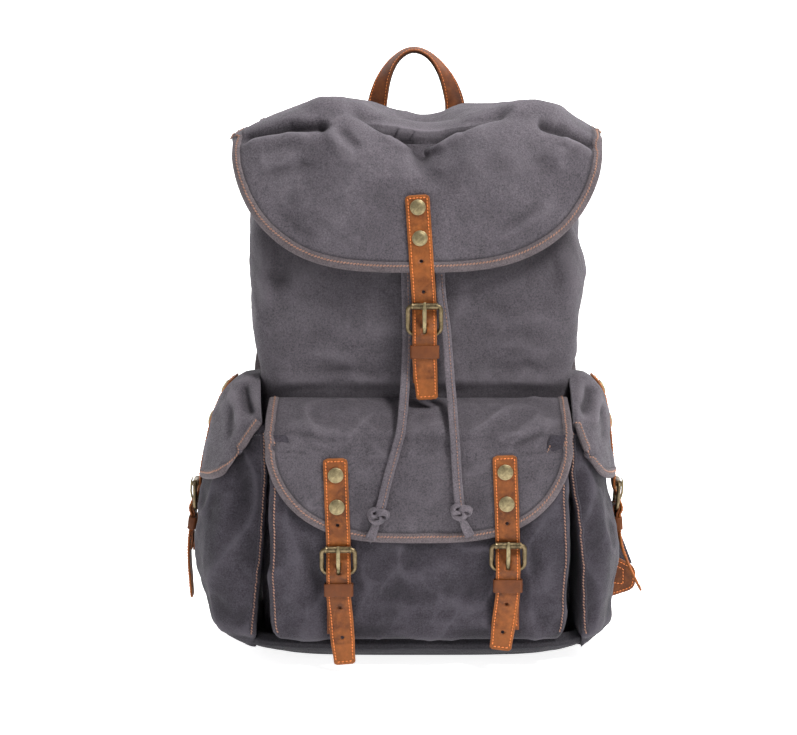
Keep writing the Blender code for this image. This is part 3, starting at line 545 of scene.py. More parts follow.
def rounded(hw, ht, r, n=4):
    """Rounded-box cross-section."""
    out = []
    for cx, cy, a0 in ((hw - r, ht - r, 0), (-hw + r, ht - r, 90), (-hw + r, -ht + r, 180), (hw - r, -ht + r, 270)):
        for i in range(n + 1):
            a = math.radians(a0 + 90 * i / n)
            out.append((cx + r * math.cos(a), cy + r * math.sin(a)))
    return out


def ring(r, n=16):
    return [(r * math.cos(2 * math.pi * i / n), r * math.sin(2 * math.pi * i / n)) for i in range(n)]


_ST = []
for _x, _r in ((-0.5, 0.0), (-0.36, 0.78), (0.0, 1.0), (0.36, 0.78), (0.5, 0.0)):
    _ST.append((_x, _r))


def stitches(name, runs, mat, pitch=3.2, length=2.5, width=0.85, height=0.55, slant=0.0, sink=0.1):
    """Rows of separate thread stitches along (points, normals) runs."""
    V, F = [], []
    sides = 6
    for C, N in runs:
        C, N = np.asarray(C, float), np.asarray(N, float)
        d = np.concatenate([[0], np.cumsum(np.linalg.norm(np.diff(C, axis=0), axis=1))])
        if d[-1] < pitch:
            continue
        k = int(d[-1] / pitch)
        at = (np.arange(k) + 0.5) * d[-1] / k
        pos = np.stack([np.interp(at, d, C[:, i]) for i in range(3)], -1)
        nor = norm(np.stack([np.interp(at, d, N[:, i]) for i in range(3)], -1))
        ta = norm(np.stack([np.interp(at + 0.4, d, C[:, i]) - np.interp(at - 0.4, d, C[:, i]) for i in range(3)], -1))
        si = norm(np.cross(nor, ta))
        ta = norm(np.cross(si, nor))
        ca, sa = math.cos(slant), math.sin(slant)
        for p, n, t, s in zip(pos, nor, ta, si):
            t, s = t * ca + s * sa, s * ca - t * sa
            base = len(V)
            p = p - n * sink
            V.append(p - t * length * 0.5)
            for x, r in _ST[1:-1]:
                for j in range(sides):
                    a = 2 * math.pi * j / sides
                    V.append(p + t * x * length + s * (r * width / 2 * math.cos(a)) + n * (r * height * math.sin(a)))
            V.append(p + t * length * 0.5)
            for j in range(sides):
                j2 = (j + 1) % sides
                F.append((base, base + 1 + j2, base + 1 + j))
                for q in range(2):
                    a0 = base + 1 + q * sides
                    F.append((a0 + j, a0 + j2, a0 + sides + j2, a0 + sides + j))
                e = base + 1 + 2 * sides
                F.append((e + j, e + j2, base + 1 + 3 * sides))
    return link(name, V, F, mat)


def cut(ob, cutters):
    """Real holes, baked in."""
    for i, c in enumerate(cutters):
        m = ob.modifiers.new("hole%d" % i, 'BOOLEAN')
        m.operation, m.solver, m.object = 'DIFFERENCE', 'EXACT', c
    dg = bpy.context.evaluated_depsgraph_get()
    me = bpy.data.meshes.new_from_object(ob.evaluated_get(dg))
    ob.modifiers.clear()
    ob.data = me
    for c in cutters:
        bpy.data.objects.remove(c, do_unlink=True)
    return ob


def rod(centre, axis, r, length, sides=16):
    rot = Vector((0, 0, 1)).rotation_difference(Vector(axis)).to_matrix()
    P = []
    for z in (-length / 2, length / 2):
        P.append([np.array(centre) + np.array(rot @ Vector((x, y, z))) for x, y in ring(r, sides)])
    return sweep_raw("cutter", np.array(P))


def sweep_raw(name, P):
    ob = grid(name, P, CANVAS, wrap=True, caps=True)
    bm = bmesh.new()
    bm.from_mesh(ob.data)
    bmesh.ops.recalc_face_normals(bm, faces=bm.faces)
    bm.to_mesh(ob.data)
    bm.free()
    return ob


def tones(D, wrap=False, times=40, gain=1.3):
    """How far each point stands off its surroundings: ridges, then hollows."""
    S = np.asarray(D, float).copy()
    for _ in range(times):
        for ax in (0, 1):
            if ax == 1 and wrap:
                S = (np.roll(S, 1, 1) + 2 * S + np.roll(S, -1, 1)) / 4
                continue
            Q = np.pad(S, [(1, 1) if ax == i else (0, 0) for i in (0, 1)], mode='edge')
            S = (Q[:-2] + 2 * Q[1:-1] + Q[2:]) / 4 if ax == 0 else (Q[:, :-2] + 2 * Q[:, 1:-1] + Q[:, 2:]) / 4
    rel = D - S
    return np.clip(rel / gain, 0, 1), np.clip(-rel / gain, 0, 1)


def marks(P, seed):
    """Thin broken lines left where waxed cloth was creased, 0 to 1."""
    a = folds(P, 46, seed, 16.0) * sm((noise(P, 30, seed + 6) - 0.05) / 0.3)
    b = folds(P, 24, seed + 9, 14.0) * sm((noise(P, 22, seed + 8) - 0.15) / 0.3)
    return np.clip(0.75 * a + 0.6 * b, 0, 1)


def edge_shade(P, line, at, width):
    """Painted shadow line on the cloth just inside its tape, where the tape would cast it: 0 to 1."""
    Q, L = np.asarray(P).reshape(-1, 3), resample(line, step=2.5)
    out = np.empty(len(Q))
    for i in range(0, len(Q), 4000):
        d2 = ((Q[i:i + 4000, None] - L[None]) ** 2).sum(-1)
        out[i:i + 4000] = np.sqrt(d2.min(1))
    return np.exp(-((out - at) / width) ** 2).reshape(np.asarray(P).shape[:-1])


def ride(ob, body, replaces=()):
    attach(ob, body)
    if replaces:
        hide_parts(*replaces)
    return ob


def binding(name, skin, edge, inside, thick, mat, width=8.0, proud=0.75, taper_ends=False):
    """Folded tape over a cloth edge.  edge is the line it covers, inside a
    point or points toward the middle of the cloth.  Returns the tape and the
    stitch run that lies on it."""
    E = resample(edge, step=2.2)
    for _ in range(3):
        E[1:-1] = (E[:-2] + 2 * E[1:-1] + E[2:]) / 4
    S, N = skin.snap(E, 0.0)
    T = tangents(S)
    I = norm(np.cross(N, T))
    mid = np.asarray(inside, float)
    sgn = np.sign(np.einsum("ij,ij->i", I, mid - S).mean())
    I = I * sgn
    tab = [(width, 0.15, 1), (width - 0.5, proud * 0.85, 1), (width * 0.62, proud * 1.05, 1),
           (width * 0.3, proud, 1), (0.6, proud * 0.95, 1), (-0.7, 0.2, 1), (-1.0, -thick / 2, 0),
           (-0.7, -thick - 0.2, 0), (0.6, -thick - proud * 0.9, 0), (width * 0.5, -thick - proud, 0),
           (width - 0.5, -thick - proud * 0.8, 0), (width, -thick - 0.15, 0)]
    layers = []
    for w, lift, snap in tab:
        if w > 0:
            Q, NN = skin.snap(S + I * w, 0.0)
            layers.append(Q + NN * lift)
        else:
            layers.append(S + I * w + N * lift)
    P = np.stack(layers, 1)
    ob = sweep_raw(name, P)
    ob.data.materials.clear()
    ob.data.materials.append(mat)
    Q, NN = skin.snap(S + I * (width * 0.6), 0.0)
    return ob, (Q + NN * (proud * 1.06 + 0.16), NN)


# ======================================================= shapes, as in the CAD
RIM_TILT = 8.0
BODY = [(0, -124, 126, -58, 70), (3.5, -131, 133, -65, 77), (14, -135, 136, -68.5, 79.5),
        (60, -138, 136.5, -70, 80), (150, -139.5, 136, -70, 80), (242, -140.5, 136, -70, 80),
        (321, -145.5, 147, -71, 80), (392, -146, 146, -70, 80), (430, -143, 143, -67, 80),
        (446, -139.5, 139.5, -62.5, 79.5)]
SIDE_LEFT = [(9, -141.2, -160, -66, 38), (19, -141.2, -174, -76, 45), (40, -141.4, -184, -84, 50),
             (75, -141.6, -191, -87, 52), (110, -141.8, -191.5, -87, 52), (150, -142, -186, -86, 52),
             (185, -142, -179, -84, 51), (207, -142.2, -172.5, -80, 50)]
SIDE_RIGHT = [(9, 138.2, 157, -66, 38), (19, 138.4, 166, -76, 45), (40, 138.6, 172, -84, 50),
              (75, 138.6, 174.5, -87, 52), (110, 138.6, 173, -87, 52), (150, 138.6, 167.6, -86, 52),
              (185, 138.6, 163.6, -84, 51), (207, 138.6, 160.2, -80, 50)]
FLAP_LEFT = [(-143.4, 247), (-152, 244.5), (-163, 236), (-172, 222), (-179, 205), (-184, 185),
             (-187.5, 168), (-190, 156)]
FLAP_RIGHT = [(139.2, 247), (148.5, 244.5), (158, 237), (164.5, 224), (168.4, 206), (170.4, 186),
              (172.2, 168), (173.4, 156)]
SIDE_YC, SIDE_HALF = -16.0, 68.0
LID_Y, LID_Z, LID_FRONT, LID_RAD = 76.0, 464.0, -90.0, 44.0
FLAP_Y, FOLD_Y, FOLD_Z = -118.0, -114.6, 204.6


def table_at(table, z):
    T = np.array(table, float)
    zz = np.linspace(T[0, 0], T[-1, 0], 400)
    out = []
    for i in range(1, T.shape[1]):
        v = np.interp(zz, T[:, 0], T[:, i])
        k = np.hanning(31)
        k /= k.sum()
        pad = np.pad(v, 15, mode='reflect', reflect_type='odd')
        s = np.convolve(pad, k, 'valid')
        mix = sm((zz - T[0, 0]) / 26.0)
        out.append(np.interp(z, zz, v * (1 - mix) + s * mix))
    return np.array(out)


def superellipse(n, power, x0, x1, y0, y1):
    th = np.linspace(0, 2 * math.pi, 4000, endpoint=False) + math.pi / 2
    c, s = np.cos(th), np.sin(th)
    r = (np.abs(c) ** power + np.abs(s) ** power) ** (-1.0 / power)
    P = np.stack([(x0 + x1) / 2 + (x1 - x0) / 2 * r * c, (y0 + y1) / 2 + (y1 - y0) / 2 * r * s], -1)
    return resample(P, count=n, closed=True)


def outward(P, N):
    """Normals of a closed shell turned away from its axis."""
    C = P.mean(1, keepdims=True)
    return N * (1.0 if (N * (P - C)).sum() > 0 else -1.0)


def body_rows(zs, n, inset=0.0):
    rows = []
    for z in zs:
        x0, x1, y0, y1 = table_at(BODY, z)
        R = superellipse(n, 6.0, x0 + inset, x1 - inset, y0 + inset, y1 - inset)
        zz = z + RIM_TILT * (R[:, 1] - y0) / (y1 - y0) * sm((z - 400) / 46.0)
        rows.append(np.column_stack([R, zz]))
    return np.array(rows)


# ------------------------------------------------------------------- main bag
def build_bag():
    zs = np.concatenate([np.linspace(0.3, 14, 9), np.linspace(16, 446, 215)])
    n = 330
    P = body_rows(zs, n)
    cen = np.array([(P[0, :, 0].mean()), P[0, :, 1].mean(), 0])
    base = [(P[0] - cen) * [k, k, 1] + cen for k in (0.03, 0.3, 0.6, 0.85, 0.97)]
    P = np.concatenate([np.array(base), P])
    N = outward(P, grid_normals(P, wrap=True))
    N[:6] = N[6]
    X, Y, Z = P[..., 0], P[..., 1], P[..., 2]
    front, side, back = np.clip(-N[..., 1], 0, 1), np.abs(N[..., 0]), np.clip(N[..., 1], 0, 1)
    W = front * sm((Z - 233) / 12) + side * sm((Z - 210) / 22) + back * 0.14
    W = np.clip(W, 0.05, 1.0)
    Q = P * [1, 1, 0.8]
    D = (3.6 * noise(Q, 88, 1) + 2.2 * noise(Q, 42, 2) + 1.6 * (folds(P * [1.1, 1, 0.7], 70, 3, 3.0) - 0.3)
         + 0.9 * noise(P, 20, 4) + 0.45 * noise(P, 9, 5) + 0.16 * noise(P, 4, 6))
    fr = front > 0.3
    A, B = X, Z
    C = np.zeros_like(D)
    # cloth gathered under the lid and dragged over the pocket seam
    C += crease(A, B, [(-128, 372), (-131, 330), (-126, 296)], 7, 4.0)
    C += crease(A, B, [(-112, 376), (-116, 344), (-118, 322)], 6, -3.0)
    C += crease(A, B, [(126, 368), (135, 330), (133, 290)], 8, 3.6)
    C += crease(A, B, [(112, 372), (118, 340), (121, 318)], 6, -2.8)
    C += crease(A, B, [(-90, 300), (-55, 282), (-20, 290), (0, 276)], 9, 2.0)
    C += crease(A, B, [(-118, 262), (-84, 268), (-44, 258)], 7, 2.2)
    C += crease(A, B, [(-100, 250), (-60, 254), (-22, 247)], 4, -1.6)
    C += crease(A, B, [(48, 306), (72, 292), (104, 298), (122, 284)], 8, 2.2)
    C += crease(A, B, [(52, 268), (84, 276), (118, 262)], 6, 1.9)
    C += crease(A, B, [(60, 252), (92, 258), (120, 250)], 3.5, -1.5)
    C += crease(A, B, [(-6, 330), (-2, 296), (-8, 262)], 8, -1.6)
    D = D + np.where(fr, C, 0)
    # full belly over the pocket seam, tucked in right at it
    D += front * 3.2 * np.exp(-((Z - 243) / 9.0) ** 2) * sm((132 - np.abs(X)) / 20)
    D = D * W
    D -= side * 2.4 * np.exp(-((Z - 252) / 13.0) ** 2) * sm((58 - np.abs(Y + 10)) / 30)
    D = np.clip(D, -3.6, 7.0)
    rc = np.clip(N[..., 0], 0, 1) ** 0.5 * sm((20 - Y) / 50) + np.clip(-N[..., 1], 0, 1) * sm((X - 118) / 18)
    D -= np.clip(rc, 0, 1) * 10.0 * np.exp(-((Z - 380) / 24.0) ** 2)
    lc = np.clip(-N[..., 0], 0, 1) ** 0.5 * sm((20 - Y) / 50)
    D -= lc * 4.0 * np.exp(-((Z - 388) / 16.0) ** 2)
    D = np.where(Z < 228, np.clip(D, -1.5, 0.25), D)
    D = np.where(back > 0.5, np.clip(D, -1.2, 0.5), D)
    case = sm((Z - (432.5 + RIM_TILT * (Y + 62) / 142)) / 2.2)
    D = D * (1 - 0.75 * case) + case * (1.4 + 0.5 * np.abs(noise(P, 7, 9)))
    P2 = P + N * D[..., None]
    P2[..., 2] = np.maximum(P2[..., 2], 0.0)
    # painted shade: hollows, a band under the lid's overhang, a line under the belly over the pocket seam, and the
    # whole front evenly darker; painted highlight on ridges along with the crease marks
    hi, lo = tones(D, True, gain=2.6)
    under = sm((Z - 322) / 26) * sm((402 - Z) / 30) * front * 0.55 + np.exp(-((Z - 234) / 9.0) ** 2) * front * 0.8
    bag = grid("bag_shell", P2, CANVAS, wrap=True, thick=2.4,
               attrs={"wear_and_highlight": np.clip(hi * W + marks(P, 311), 0, 1), "shade": np.clip(lo * 0.7 * W + under + 0.36 * front, 0, 1)})
    ride(bag, "bag", ["main_bag"])
    skin = Skin(P2, None, wrap=True)

    # channel stitching round the mouth
    ring_pts = P2[np.argmin(np.abs(zs - 431.0)) + 5]
    S, NN = skin.snap(np.vstack([ring_pts, ring_pts[:1]]) + [0, 0, 0.0], 0.15)
    st = stitches("mouth_stitches", [(S, NN)], THREAD_GREY, 3.0, 2.2, 0.7, 0.45)
    ride(st, "bag")
    # two eyelets where the cord leaves its channel
    for tag, x in (("left", -15.0), ("right", 24.0)):
        c, nn = skin.snap([(x, -72, 437.0)], 0.25)
        e = lathe("eyelet_" + tag, c[0], nn[0], [(2.2, -0.3), (2.1, 0.5), (2.5, 0.95), (3.4, 0.9), (4.3, 0.45), (4.6, 0.0)],
                  BRASS, 28)
        ride(e, "bag")

    # cotton lining
    zs = np.concatenate([np.linspace(6.5, 18, 5), np.linspace(24, 442, 64)])
    L = body_rows(zs, 150, 7.0)
    k = sm((zs - 425) / 17.0)[:, None, None]
    L = L * (1 - k) + body_rows(zs, 150, 3.4) * k
    cen = np.array([L[0, :, 0].mean(), L[0, :, 1].mean(), 0])
    L = np.concatenate([np.array([(L[0] - cen) * [s, s, 1] + cen for s in (0.03, 0.4, 0.8, 0.97)]), L])
    LN = outward(L, grid_normals(L, wrap=True))
    L[..., 0] -= 10.0 * np.exp(-((L[..., 2] - 380) / 26.0) ** 2) * sm((L[..., 0] - 70) / 60)
    L[..., 1] += 6.0 * np.exp(-((L[..., 2] - 380) / 26.0) ** 2) * sm((L[..., 0] - 90) / 30) * (L[..., 1] < 0)
    L = L - LN * (0.5 + 1.1 * np.abs(noise(L, 34, 11)) + 0.5 * np.abs(noise(L, 13, 12)))[..., None]
    lin_ob = grid("bag_lining", L, LINING, wrap=True, thick=0.8)
    ride(lin_ob, "bag", ["lining"])
    return skin


def lathe(name, centre, axis, prof, mat, sides=24, closed=False):
    """Turned form: (radius, height) pairs about an axis."""
    rot = Vector((0, 0, 1)).rotation_difference(Vector(axis)).to_matrix()
    R = np.array(rot)
    rows = []
    for r, z in prof:
        rows.append([R @ np.array([max(r, 0.02) * math.cos(a), max(r, 0.02) * math.sin(a), z]) + np.asarray(centre)
                     for a in np.linspace(0, 2 * math.pi, sides, endpoint=False)])
    rows = np.array(rows)
    ob = grid(name, rows, mat, wrap=True, close=closed, caps=not closed)
    bm = bmesh.new()
    bm.from_mesh(ob.data)
    bmesh.ops.recalc_face_normals(bm, faces=bm.faces)
    bm.to_mesh(ob.data)
    bm.free()
    return ob


# -------------------------------------------------------------------- lid flap
def lid_grid(nu, nv):
    t, v = np.linspace(-1, 1, nu), np.linspace(0, 1, nv)
    s = 0.3 * t + 0.7 * np.sin(t * math.pi / 2)
    a = np.abs(s)
    xf = s * 158
    yf = LID_FRONT + 18 * a ** 3
    zt = (476 - 24 * a ** 4 + 9 * np.exp(-((xf + 85) / 38) ** 2) + 9 * np.exp(-((xf - 106) / 38) ** 2)
          - 5 * np.exp(-((xf - 10) / 22) ** 2))
    p = np.where(s > 0, 3.0, 3.3)
    zb = 449 - 109 * np.maximum(0.0, 1 - a ** p) ** 0.52
    r = LID_RAD
    run1 = LID_Y - (yf + r)
    drop = zt - zb
    phi = np.where(drop > r, math.pi / 2, np.arccos(np.clip(1 - drop / r, -1, 1)))
    run2, run3 = r * phi, np.maximum(0.0, drop - r)
    d = v[:, None] * (run1 + run2 + run3)[None]
    f = (d - run1) / r
    roll = d <= run1 + run2 + 1e-6
    y = np.where(d < run1, LID_Y - d, np.where(roll, yf + r - r * np.sin(f), yf + 0 * d))
    z = np.where(d < run1, zt + 0 * d, np.where(roll, zt - r + r * np.cos(f), zt - r - (d - run1 - run2)))
    z = (LID_Z + 0.4) * (1 - sm(d / 45.0)) + z * sm(d / 45.0)
    half = 140 + 18 * sm(d / 90.0)
    x = s[None] * half
    return np.stack([x, y, z], -1)


def build_lid():
    P = lid_grid(230, 210)
    N = grid_normals(P)
    N = N * (1 if (N @ np.array([0, -0.4, 1.0])).sum() > 0 else -1)
    X, Y, Z = P[..., 0], P[..., 1], P[..., 2]
    top = np.clip(N[..., 2], 0, 1)
    D = (3.2 * noise(P * [1, .8, 1], 95, 21) + 2.0 * noise(P, 46, 22) + 1.4 * (folds(P * [.8, 1, 1.15], 84, 23, 3.0) - 0.3)
         + 0.7 * noise(P, 21, 24) + 0.35 * noise(P, 9, 25) + 0.14 * noise(P, 4, 26))
    # the sag between the two full corners, with its Y of folds down the middle
    B = Z + 0.14 * (Y + 88)
    C = -13.0 * np.exp(-((X - 1.5) / 34) ** 2) * sm((18 - Y) / 75) * sm((Z - 418) / 40)
    C += crease(X, B, [(-66, 484), (-48, 477), (-34, 471), (-19, 467), (-6, 461), (2, 456), (3, 440), (4, 418)], 6.0, -7.0, 0.18)
    C += crease(X, B, [(84, 481), (69, 476), (44, 470), (19, 463), (4, 456)], 5.5, -6.0, 0.2)
    C += crease(X, B, [(-104, 483), (-82, 485), (-64, 483), (-46, 480), (-30, 474)], 6.0, 4.2)
    C += crease(X, B, [(60, 482), (82, 481), (102, 484), (122, 479), (136, 466)], 6.5, 4.2)
    C += crease(X, B, [(40, 461), (24, 455), (12, 447)], 6.0, 3.4)
    C += crease(X, B, [(-30, 459), (-16, 453), (-6, 446)], 6.0, 3.4)
    C += crease(X, B, [(-156, 455), (-147, 456), (-130, 459.6), (-109, 464), (-96, 463), (-84, 464), (-71, 457)], 4.6, -7.5, 0.14)
    C += crease(X, B, [(-150, 447), (-132, 451), (-108, 455), (-86, 455)], 5.0, 3.2, 0.2)
    C += crease(X, B, [(-82, 463), (-72, 454), (-61, 441), (-48, 433)], 6.0, 3.4)
    C += crease(X, B, [(-68, 462), (-58, 450), (-46, 440)], 4.5, -2.6)
    C += crease(X, B, [(-140, 421), (-118, 427), (-96, 431), (-80, 429)], 5.5, -2.6)
    C += crease(X, B, [(-138, 429), (-118, 435), (-96, 438)], 6.0, 2.0)
    C += crease(X, B, [(156, 447), (140, 456), (128, 461), (117, 464), (100, 468)], 4.8, -7.5, 0.14)
    C += crease(X, B, [(150, 440), (134, 449), (120, 454)], 5.0, 3.0, 0.2)
    C += crease(X, B, [(98, 440), (105, 430), (112, 420)], 8.0, -2.6)
    C += crease(X, B, [(124, 448), (119, 436), (122, 424)], 5.5, 2.4)
    C += crease(X, B, [(124, 406), (102, 390), (78, 376), (58, 368)], 7.5, 3.0)
    C += crease(X, B, [(108, 399), (88, 386), (62, 372)], 5.0, -3.0)
    C += crease(X, B, [(-108, 408), (-84, 394), (-58, 372)], 9, 2.0)
    C += crease(X, B, [(-126, 398), (-104, 378), (-78, 364)], 6, -1.8)
    C += crease(X, B, [(30, 440), (56, 428), (84, 430), (100, 438)], 9, 1.8)
    C += crease(X, B, [(-96, 486), (-60, 492), (-20, 488), (30, 490), (84, 488)], 8, 2.6)
    C += crease(X, B, [(-40, 497), (0, 488), (40, 496)], 8, -3.4)
    C += 8.0 * np.exp(-((X + 60) / 32) ** 2) * np.exp(-((B - 432) / 32) ** 2)
    C += 7.0 * np.exp(-((X - 66) / 32) ** 2) * np.exp(-((B - 434) / 32) ** 2)
    C += crease(X, B, [(8, 455), (9, 432), (12, 408)], 11, -5.5)
    D = D + 1.35 * C
    edge = sm((P.shape[0] - 1 - np.arange(P.shape[0]))[:, None] / 9.0)
    side = sm((158.0 - np.abs(P[60:61, :, 0])) / 6.0)
    hinge = sm(np.arange(P.shape[0])[:, None] / 16.0)
    side = sm((158.0 - np.abs(P[60:61, :, 0])) / 15.0)
    D = D * (0.35 + 0.65 * edge) * (0.12 + 0.88 * side) * hinge
    # flat under the strap that is riveted on
    flat = np.exp(-((X - 1.5) / 15.0) ** 4) * sm((408 - Z) / 14)
    D = D * (1 - flat) + flat * 0.1
    D = np.clip(D, -22, 11.0)
    D = np.where(top > 0.8, np.maximum(D, -7.5), D)
    P2 = P + N * D[..., None]
    # painted highlight on ridges along with the crease marks, painted shade in hollows, and a painted shadow line
    # beside the tape
    hi, lo = tones(D, gain=3.6)
    wear_and_highlight, painted_hollow_shade = np.clip(hi + 0.8 * marks(P, 331), 0, 1) * (1 - flat), lo * (1 - flat)
    start = int(0.10 * (P.shape[0] - 1))
    edge_line = np.vstack([P2[start:, 0], P2[-1, 1:], P2[start:-1, -1][::-1]])
    lid = grid("lid_flap", P2, CANVAS, toward=(0, -0.4, 1), thick=2.4,
               attrs={"wear_and_highlight": wear_and_highlight, "shade": np.clip(edge_shade(P2, edge_line, 9.0, 1.3) + 0.9 * painted_hollow_shade, 0, 1)})
    skin = Skin(P2, (0, -0.4, 1))
    bind, run = binding("lid_binding", skin, edge_line, (0, -40, 440), 2.4, BINDING, 8.4, 1.25)
    st = stitches("lid_binding_stitches", [run], THREAD_PALE, 2.8, 2.7, 1.35, 0.7, 0.5)
    ride(lid, "lid", ["top_flap"])
    ride(bind, "lid")
    ride(st, "lid")
    area = 0.09
    # hinge seam on the back edge of the bag
    back = P2[0]
    tape = np.stack([back + [0, 3.2, 0.4], back + [0, 4.4, -4], back + [0, 4.6, -12], back + [0, 3.6, -14.2],
                     back + [0, 2.7, -12], back + [0, 2.7, -1.5]], 1)
    t = sweep_raw("lid_seam_tape", tape)
    t.data.materials.clear()
    t.data.materials.append(BINDING)
    ride(t, "bag")
    r2 = stitches("lid_seam_stitches", [(back + [0, 4.75, -8.0], np.tile([0, 1.0, 0], (len(back), 1)))],
                  THREAD_PALE, 3.3, 2.5, 0.9, 0.5)
    ride(r2, "bag")
    return skin


def grid_area(P):
    P = np.asarray(P, float) * MM
    a = np.cross(P[:-1, 1:] - P[:-1, :-1], P[1:, :-1] - P[:-1, :-1])
    b = np.cross(P[:-1, 1:] - P[1:, 1:], P[1:, :-1] - P[1:, 1:])
    return float((np.linalg.norm(a, axis=-1) + np.linalg.norm(b, axis=-1)).sum() / 2)


# --------------------------------------------------------------- front pocket
POCKET_L = [(24, -119), (30, -122), (37, -124), (69, -125.6), (100, -125.6), (139, -124), (165, -123), (205, -124.5)]
POCKET_R = [(24, 122), (30, 125), (37, 126.6), (69, 128), (100, 130), (139, 128), (165, 125.6), (205, 128.6)]
RIDGE_L = [(16, -140.5), (37, -138.8), (69, -136), (100, -132.6), (139, -129.6), (165, -127.8), (207, -128.6)]
RIDGE_R = [(16, 143.5), (37, 142.6), (69, 140.8), (100, 139.4), (139, 134.6), (165, 129.6), (207, 131)]
RIDGE_Y = -95.0


def spline_at(table, z, width=24):
    T = np.array(table, float)
    zz = np.linspace(T[0, 0], T[-1, 0], 300)
    v = np.interp(zz, T[:, 0], T[:, 1])
    k = np.hanning(width + 1)
    k /= k.sum()
    v = np.convolve(np.pad(v, width // 2, mode='reflect', reflect_type='odd'), k, 'valid')
    return np.interp(z, zz, v)


def build_pocket():
    low = [(24.4, -72.5, 9), (24.1, -84, 7), (24.0, -97, 5), (24.6, -104, 3.4), (26.2, -109, 2.0), (29, -112.4, 1.0),
           (33, -114.0, 0.3), (38, -114.6, 0.0)]
    rows = low + [(z, -114.6, 0.0) for z in np.linspace(41, 204, 100)]
    out = []
    for z, yf, dx in rows:
        xl, xr = spline_at(POCKET_L, z) + dx, spline_at(POCKET_R, z) - dx
        r = 4.5 if yf < -100 else 2.0
        left = np.column_stack([np.linspace(xl - 2.2, xl, 22), np.linspace(-71.2, yf + r, 22)])
        arc = np.array([(xl + r - r * math.cos(a), yf + r - r * math.sin(a)) for a in np.linspace(0.15, 1.42, 9)])
        mid = np.column_stack([np.linspace(xl + r, xr - r, 200), np.full(200, yf)])
        arc2 = np.array([(xr - r + r * math.sin(a), yf + r - r * math.cos(a)) for a in np.linspace(0.15, 1.42, 9)])
        right = np.column_stack([np.linspace(xr, xr + 2.2, 22), np.linspace(yf + r, -71.2, 22)])
        R = np.vstack([left, arc, mid, arc2, right])
        out.append(np.column_stack([R, np.full(len(R), z)]))
    P = np.array(out)
    X, Y, Z = P[..., 0].copy(), P[..., 1], P[..., 2].copy()
    front = (Y < -112).astype(float)
    topz = 204 - 26 * sm((112 - np.abs(X - 1)) / 9) * (Y < -100)
    P[..., 2] = np.where(Z > 150, 150 + (Z - 150) * (topz - 150) / 54.0, Z)
    Z = P[..., 2]
    N = grid_normals(P)
    N = N * (1 if (N @ np.array([0, -1.0, 0])).sum() > 0 else -1)
    flapz = 204 - 12 - 79.5 * np.maximum(0, 1 - np.abs((X - 1) / 129.0) ** 3.1) ** (1 / 1.85)
    under = sm((Z - (flapz - 4)) / 10)
    straps = np.maximum(np.exp(-((X + 65) / 17.0) ** 4), np.exp(-((X - 76) / 17.0) ** 4))
    D = (2.0 * noise(P, 62, 41) + 1.8 * noise(P, 30, 42) + 2.8 * (folds(P * [1, 1, 0.8], 52, 43, 2.6) - 0.3)
         + 0.55 * noise(P, 14, 44) + 0.3 * noise(P, 7, 45) + 0.12 * noise(P, 3.6, 46))
    D += crease(X, Z, [(-112, 132), (-104, 96), (-108, 62), (-96, 40)], 9, 2.2)
    D += crease(X, Z, [(-96, 60), (-74, 66), (-58, 88)], 8, 1.8)
    D += crease(X, Z, [(-40, 92), (-8, 84), (24, 92), (52, 82)], 9, 1.7)
    D += crease(X, Z, [(-36, 62), (-6, 55), (30, 60), (56, 50)], 7, 1.6)
    D += crease(X, Z, [(-110, 38), (-60, 33), (0, 36), (60, 32), (112, 38)], 5, -1.2)
    D += crease(X, Z, [(100, 60), (112, 84), (110, 118)], 8, 1.7)
    D += crease(X, Z, [(-96, 112), (-84, 78), (-88, 48)], 6, -1.6)
    D += crease(X, Z, [(92, 132), (100, 100), (96, 70)], 6, -1.5)
    lim = 2.4 * (1 - straps) * (1 - under) + 0.1
    D = np.clip(D, -3.6, 9) * (0.25 + 0.75 * (1 - under))
    D = np.where(Y < -108, np.minimum(D, lim), D * 0.5)
    D = np.where(Z < 26, D * 0.2, D)
    P2 = P + N * D[..., None]
    # painted highlight on ridges along with the crease marks, kept off the cloth under the flap; painted shadow under
    # the flap's edge, painted shade towards the bottom and in hollows
    hi, lo = tones(D, gain=1.0)
    painted_shade_flap_and_bottom = 0.5 * np.exp(-((Z - flapz) / 9.0) ** 2) + 0.25 * sm((44 - Z) / 20)
    ob = grid("front_pocket_panel", P2, CANVAS_SHADED_LOW, toward=(0, -1, 0), thick=2.0,
              attrs={"wear_and_highlight": np.clip(hi + marks(P, 351), 0, 1) * (1 - under), "shade": np.clip(0.8 * lo + painted_shade_flap_and_bottom, 0, 1)})
    ride(ob, "bag", ["front_pocket"])
    skin = Skin(P2, (0, -1, 0))

    # stitched ridge down each front corner
    runs, ridges = [], []
    for tag, table, sx in (("left", POCKET_L, 1), ("right", POCKET_R, -1)):
        zz = np.linspace(31, 199, 90)
        pts = np.column_stack([spline_at(table, zz) + sx * 1.6, np.full(90, -118.0), zz])
        S, NN = skin.snap(pts, 0.0)
        U = np.tile([1.0, 0, 0], (90, 1))
        rr = sweep("pocket_ridge_" + tag, S, U, np.tile([0, -1.0, 0], (90, 1)),
                   [(1.7, -0.6), (1.5, 0.25), (0.7, 0.62), (-0.7, 0.62), (-1.5, 0.25), (-1.7, -0.6)], CANVAS_SHADED_LOW,
                   sn=np.minimum(1, 0.3 + sm(np.arange(90) / 5) * sm((89 - np.arange(90)) / 5)))
        ridges.append(rr)
        runs.append((S + [sx * 0.5, -0.72, 0], np.tile([0, -1.0, 0], (90, 1))))
    st = stitches("pocket_ridge_stitches", runs, THREAD_PALE, 2.8, 2.5, 1.2, 0.65, 0.4)
    for o in ridges + [st]:
        ride(o, "bag")
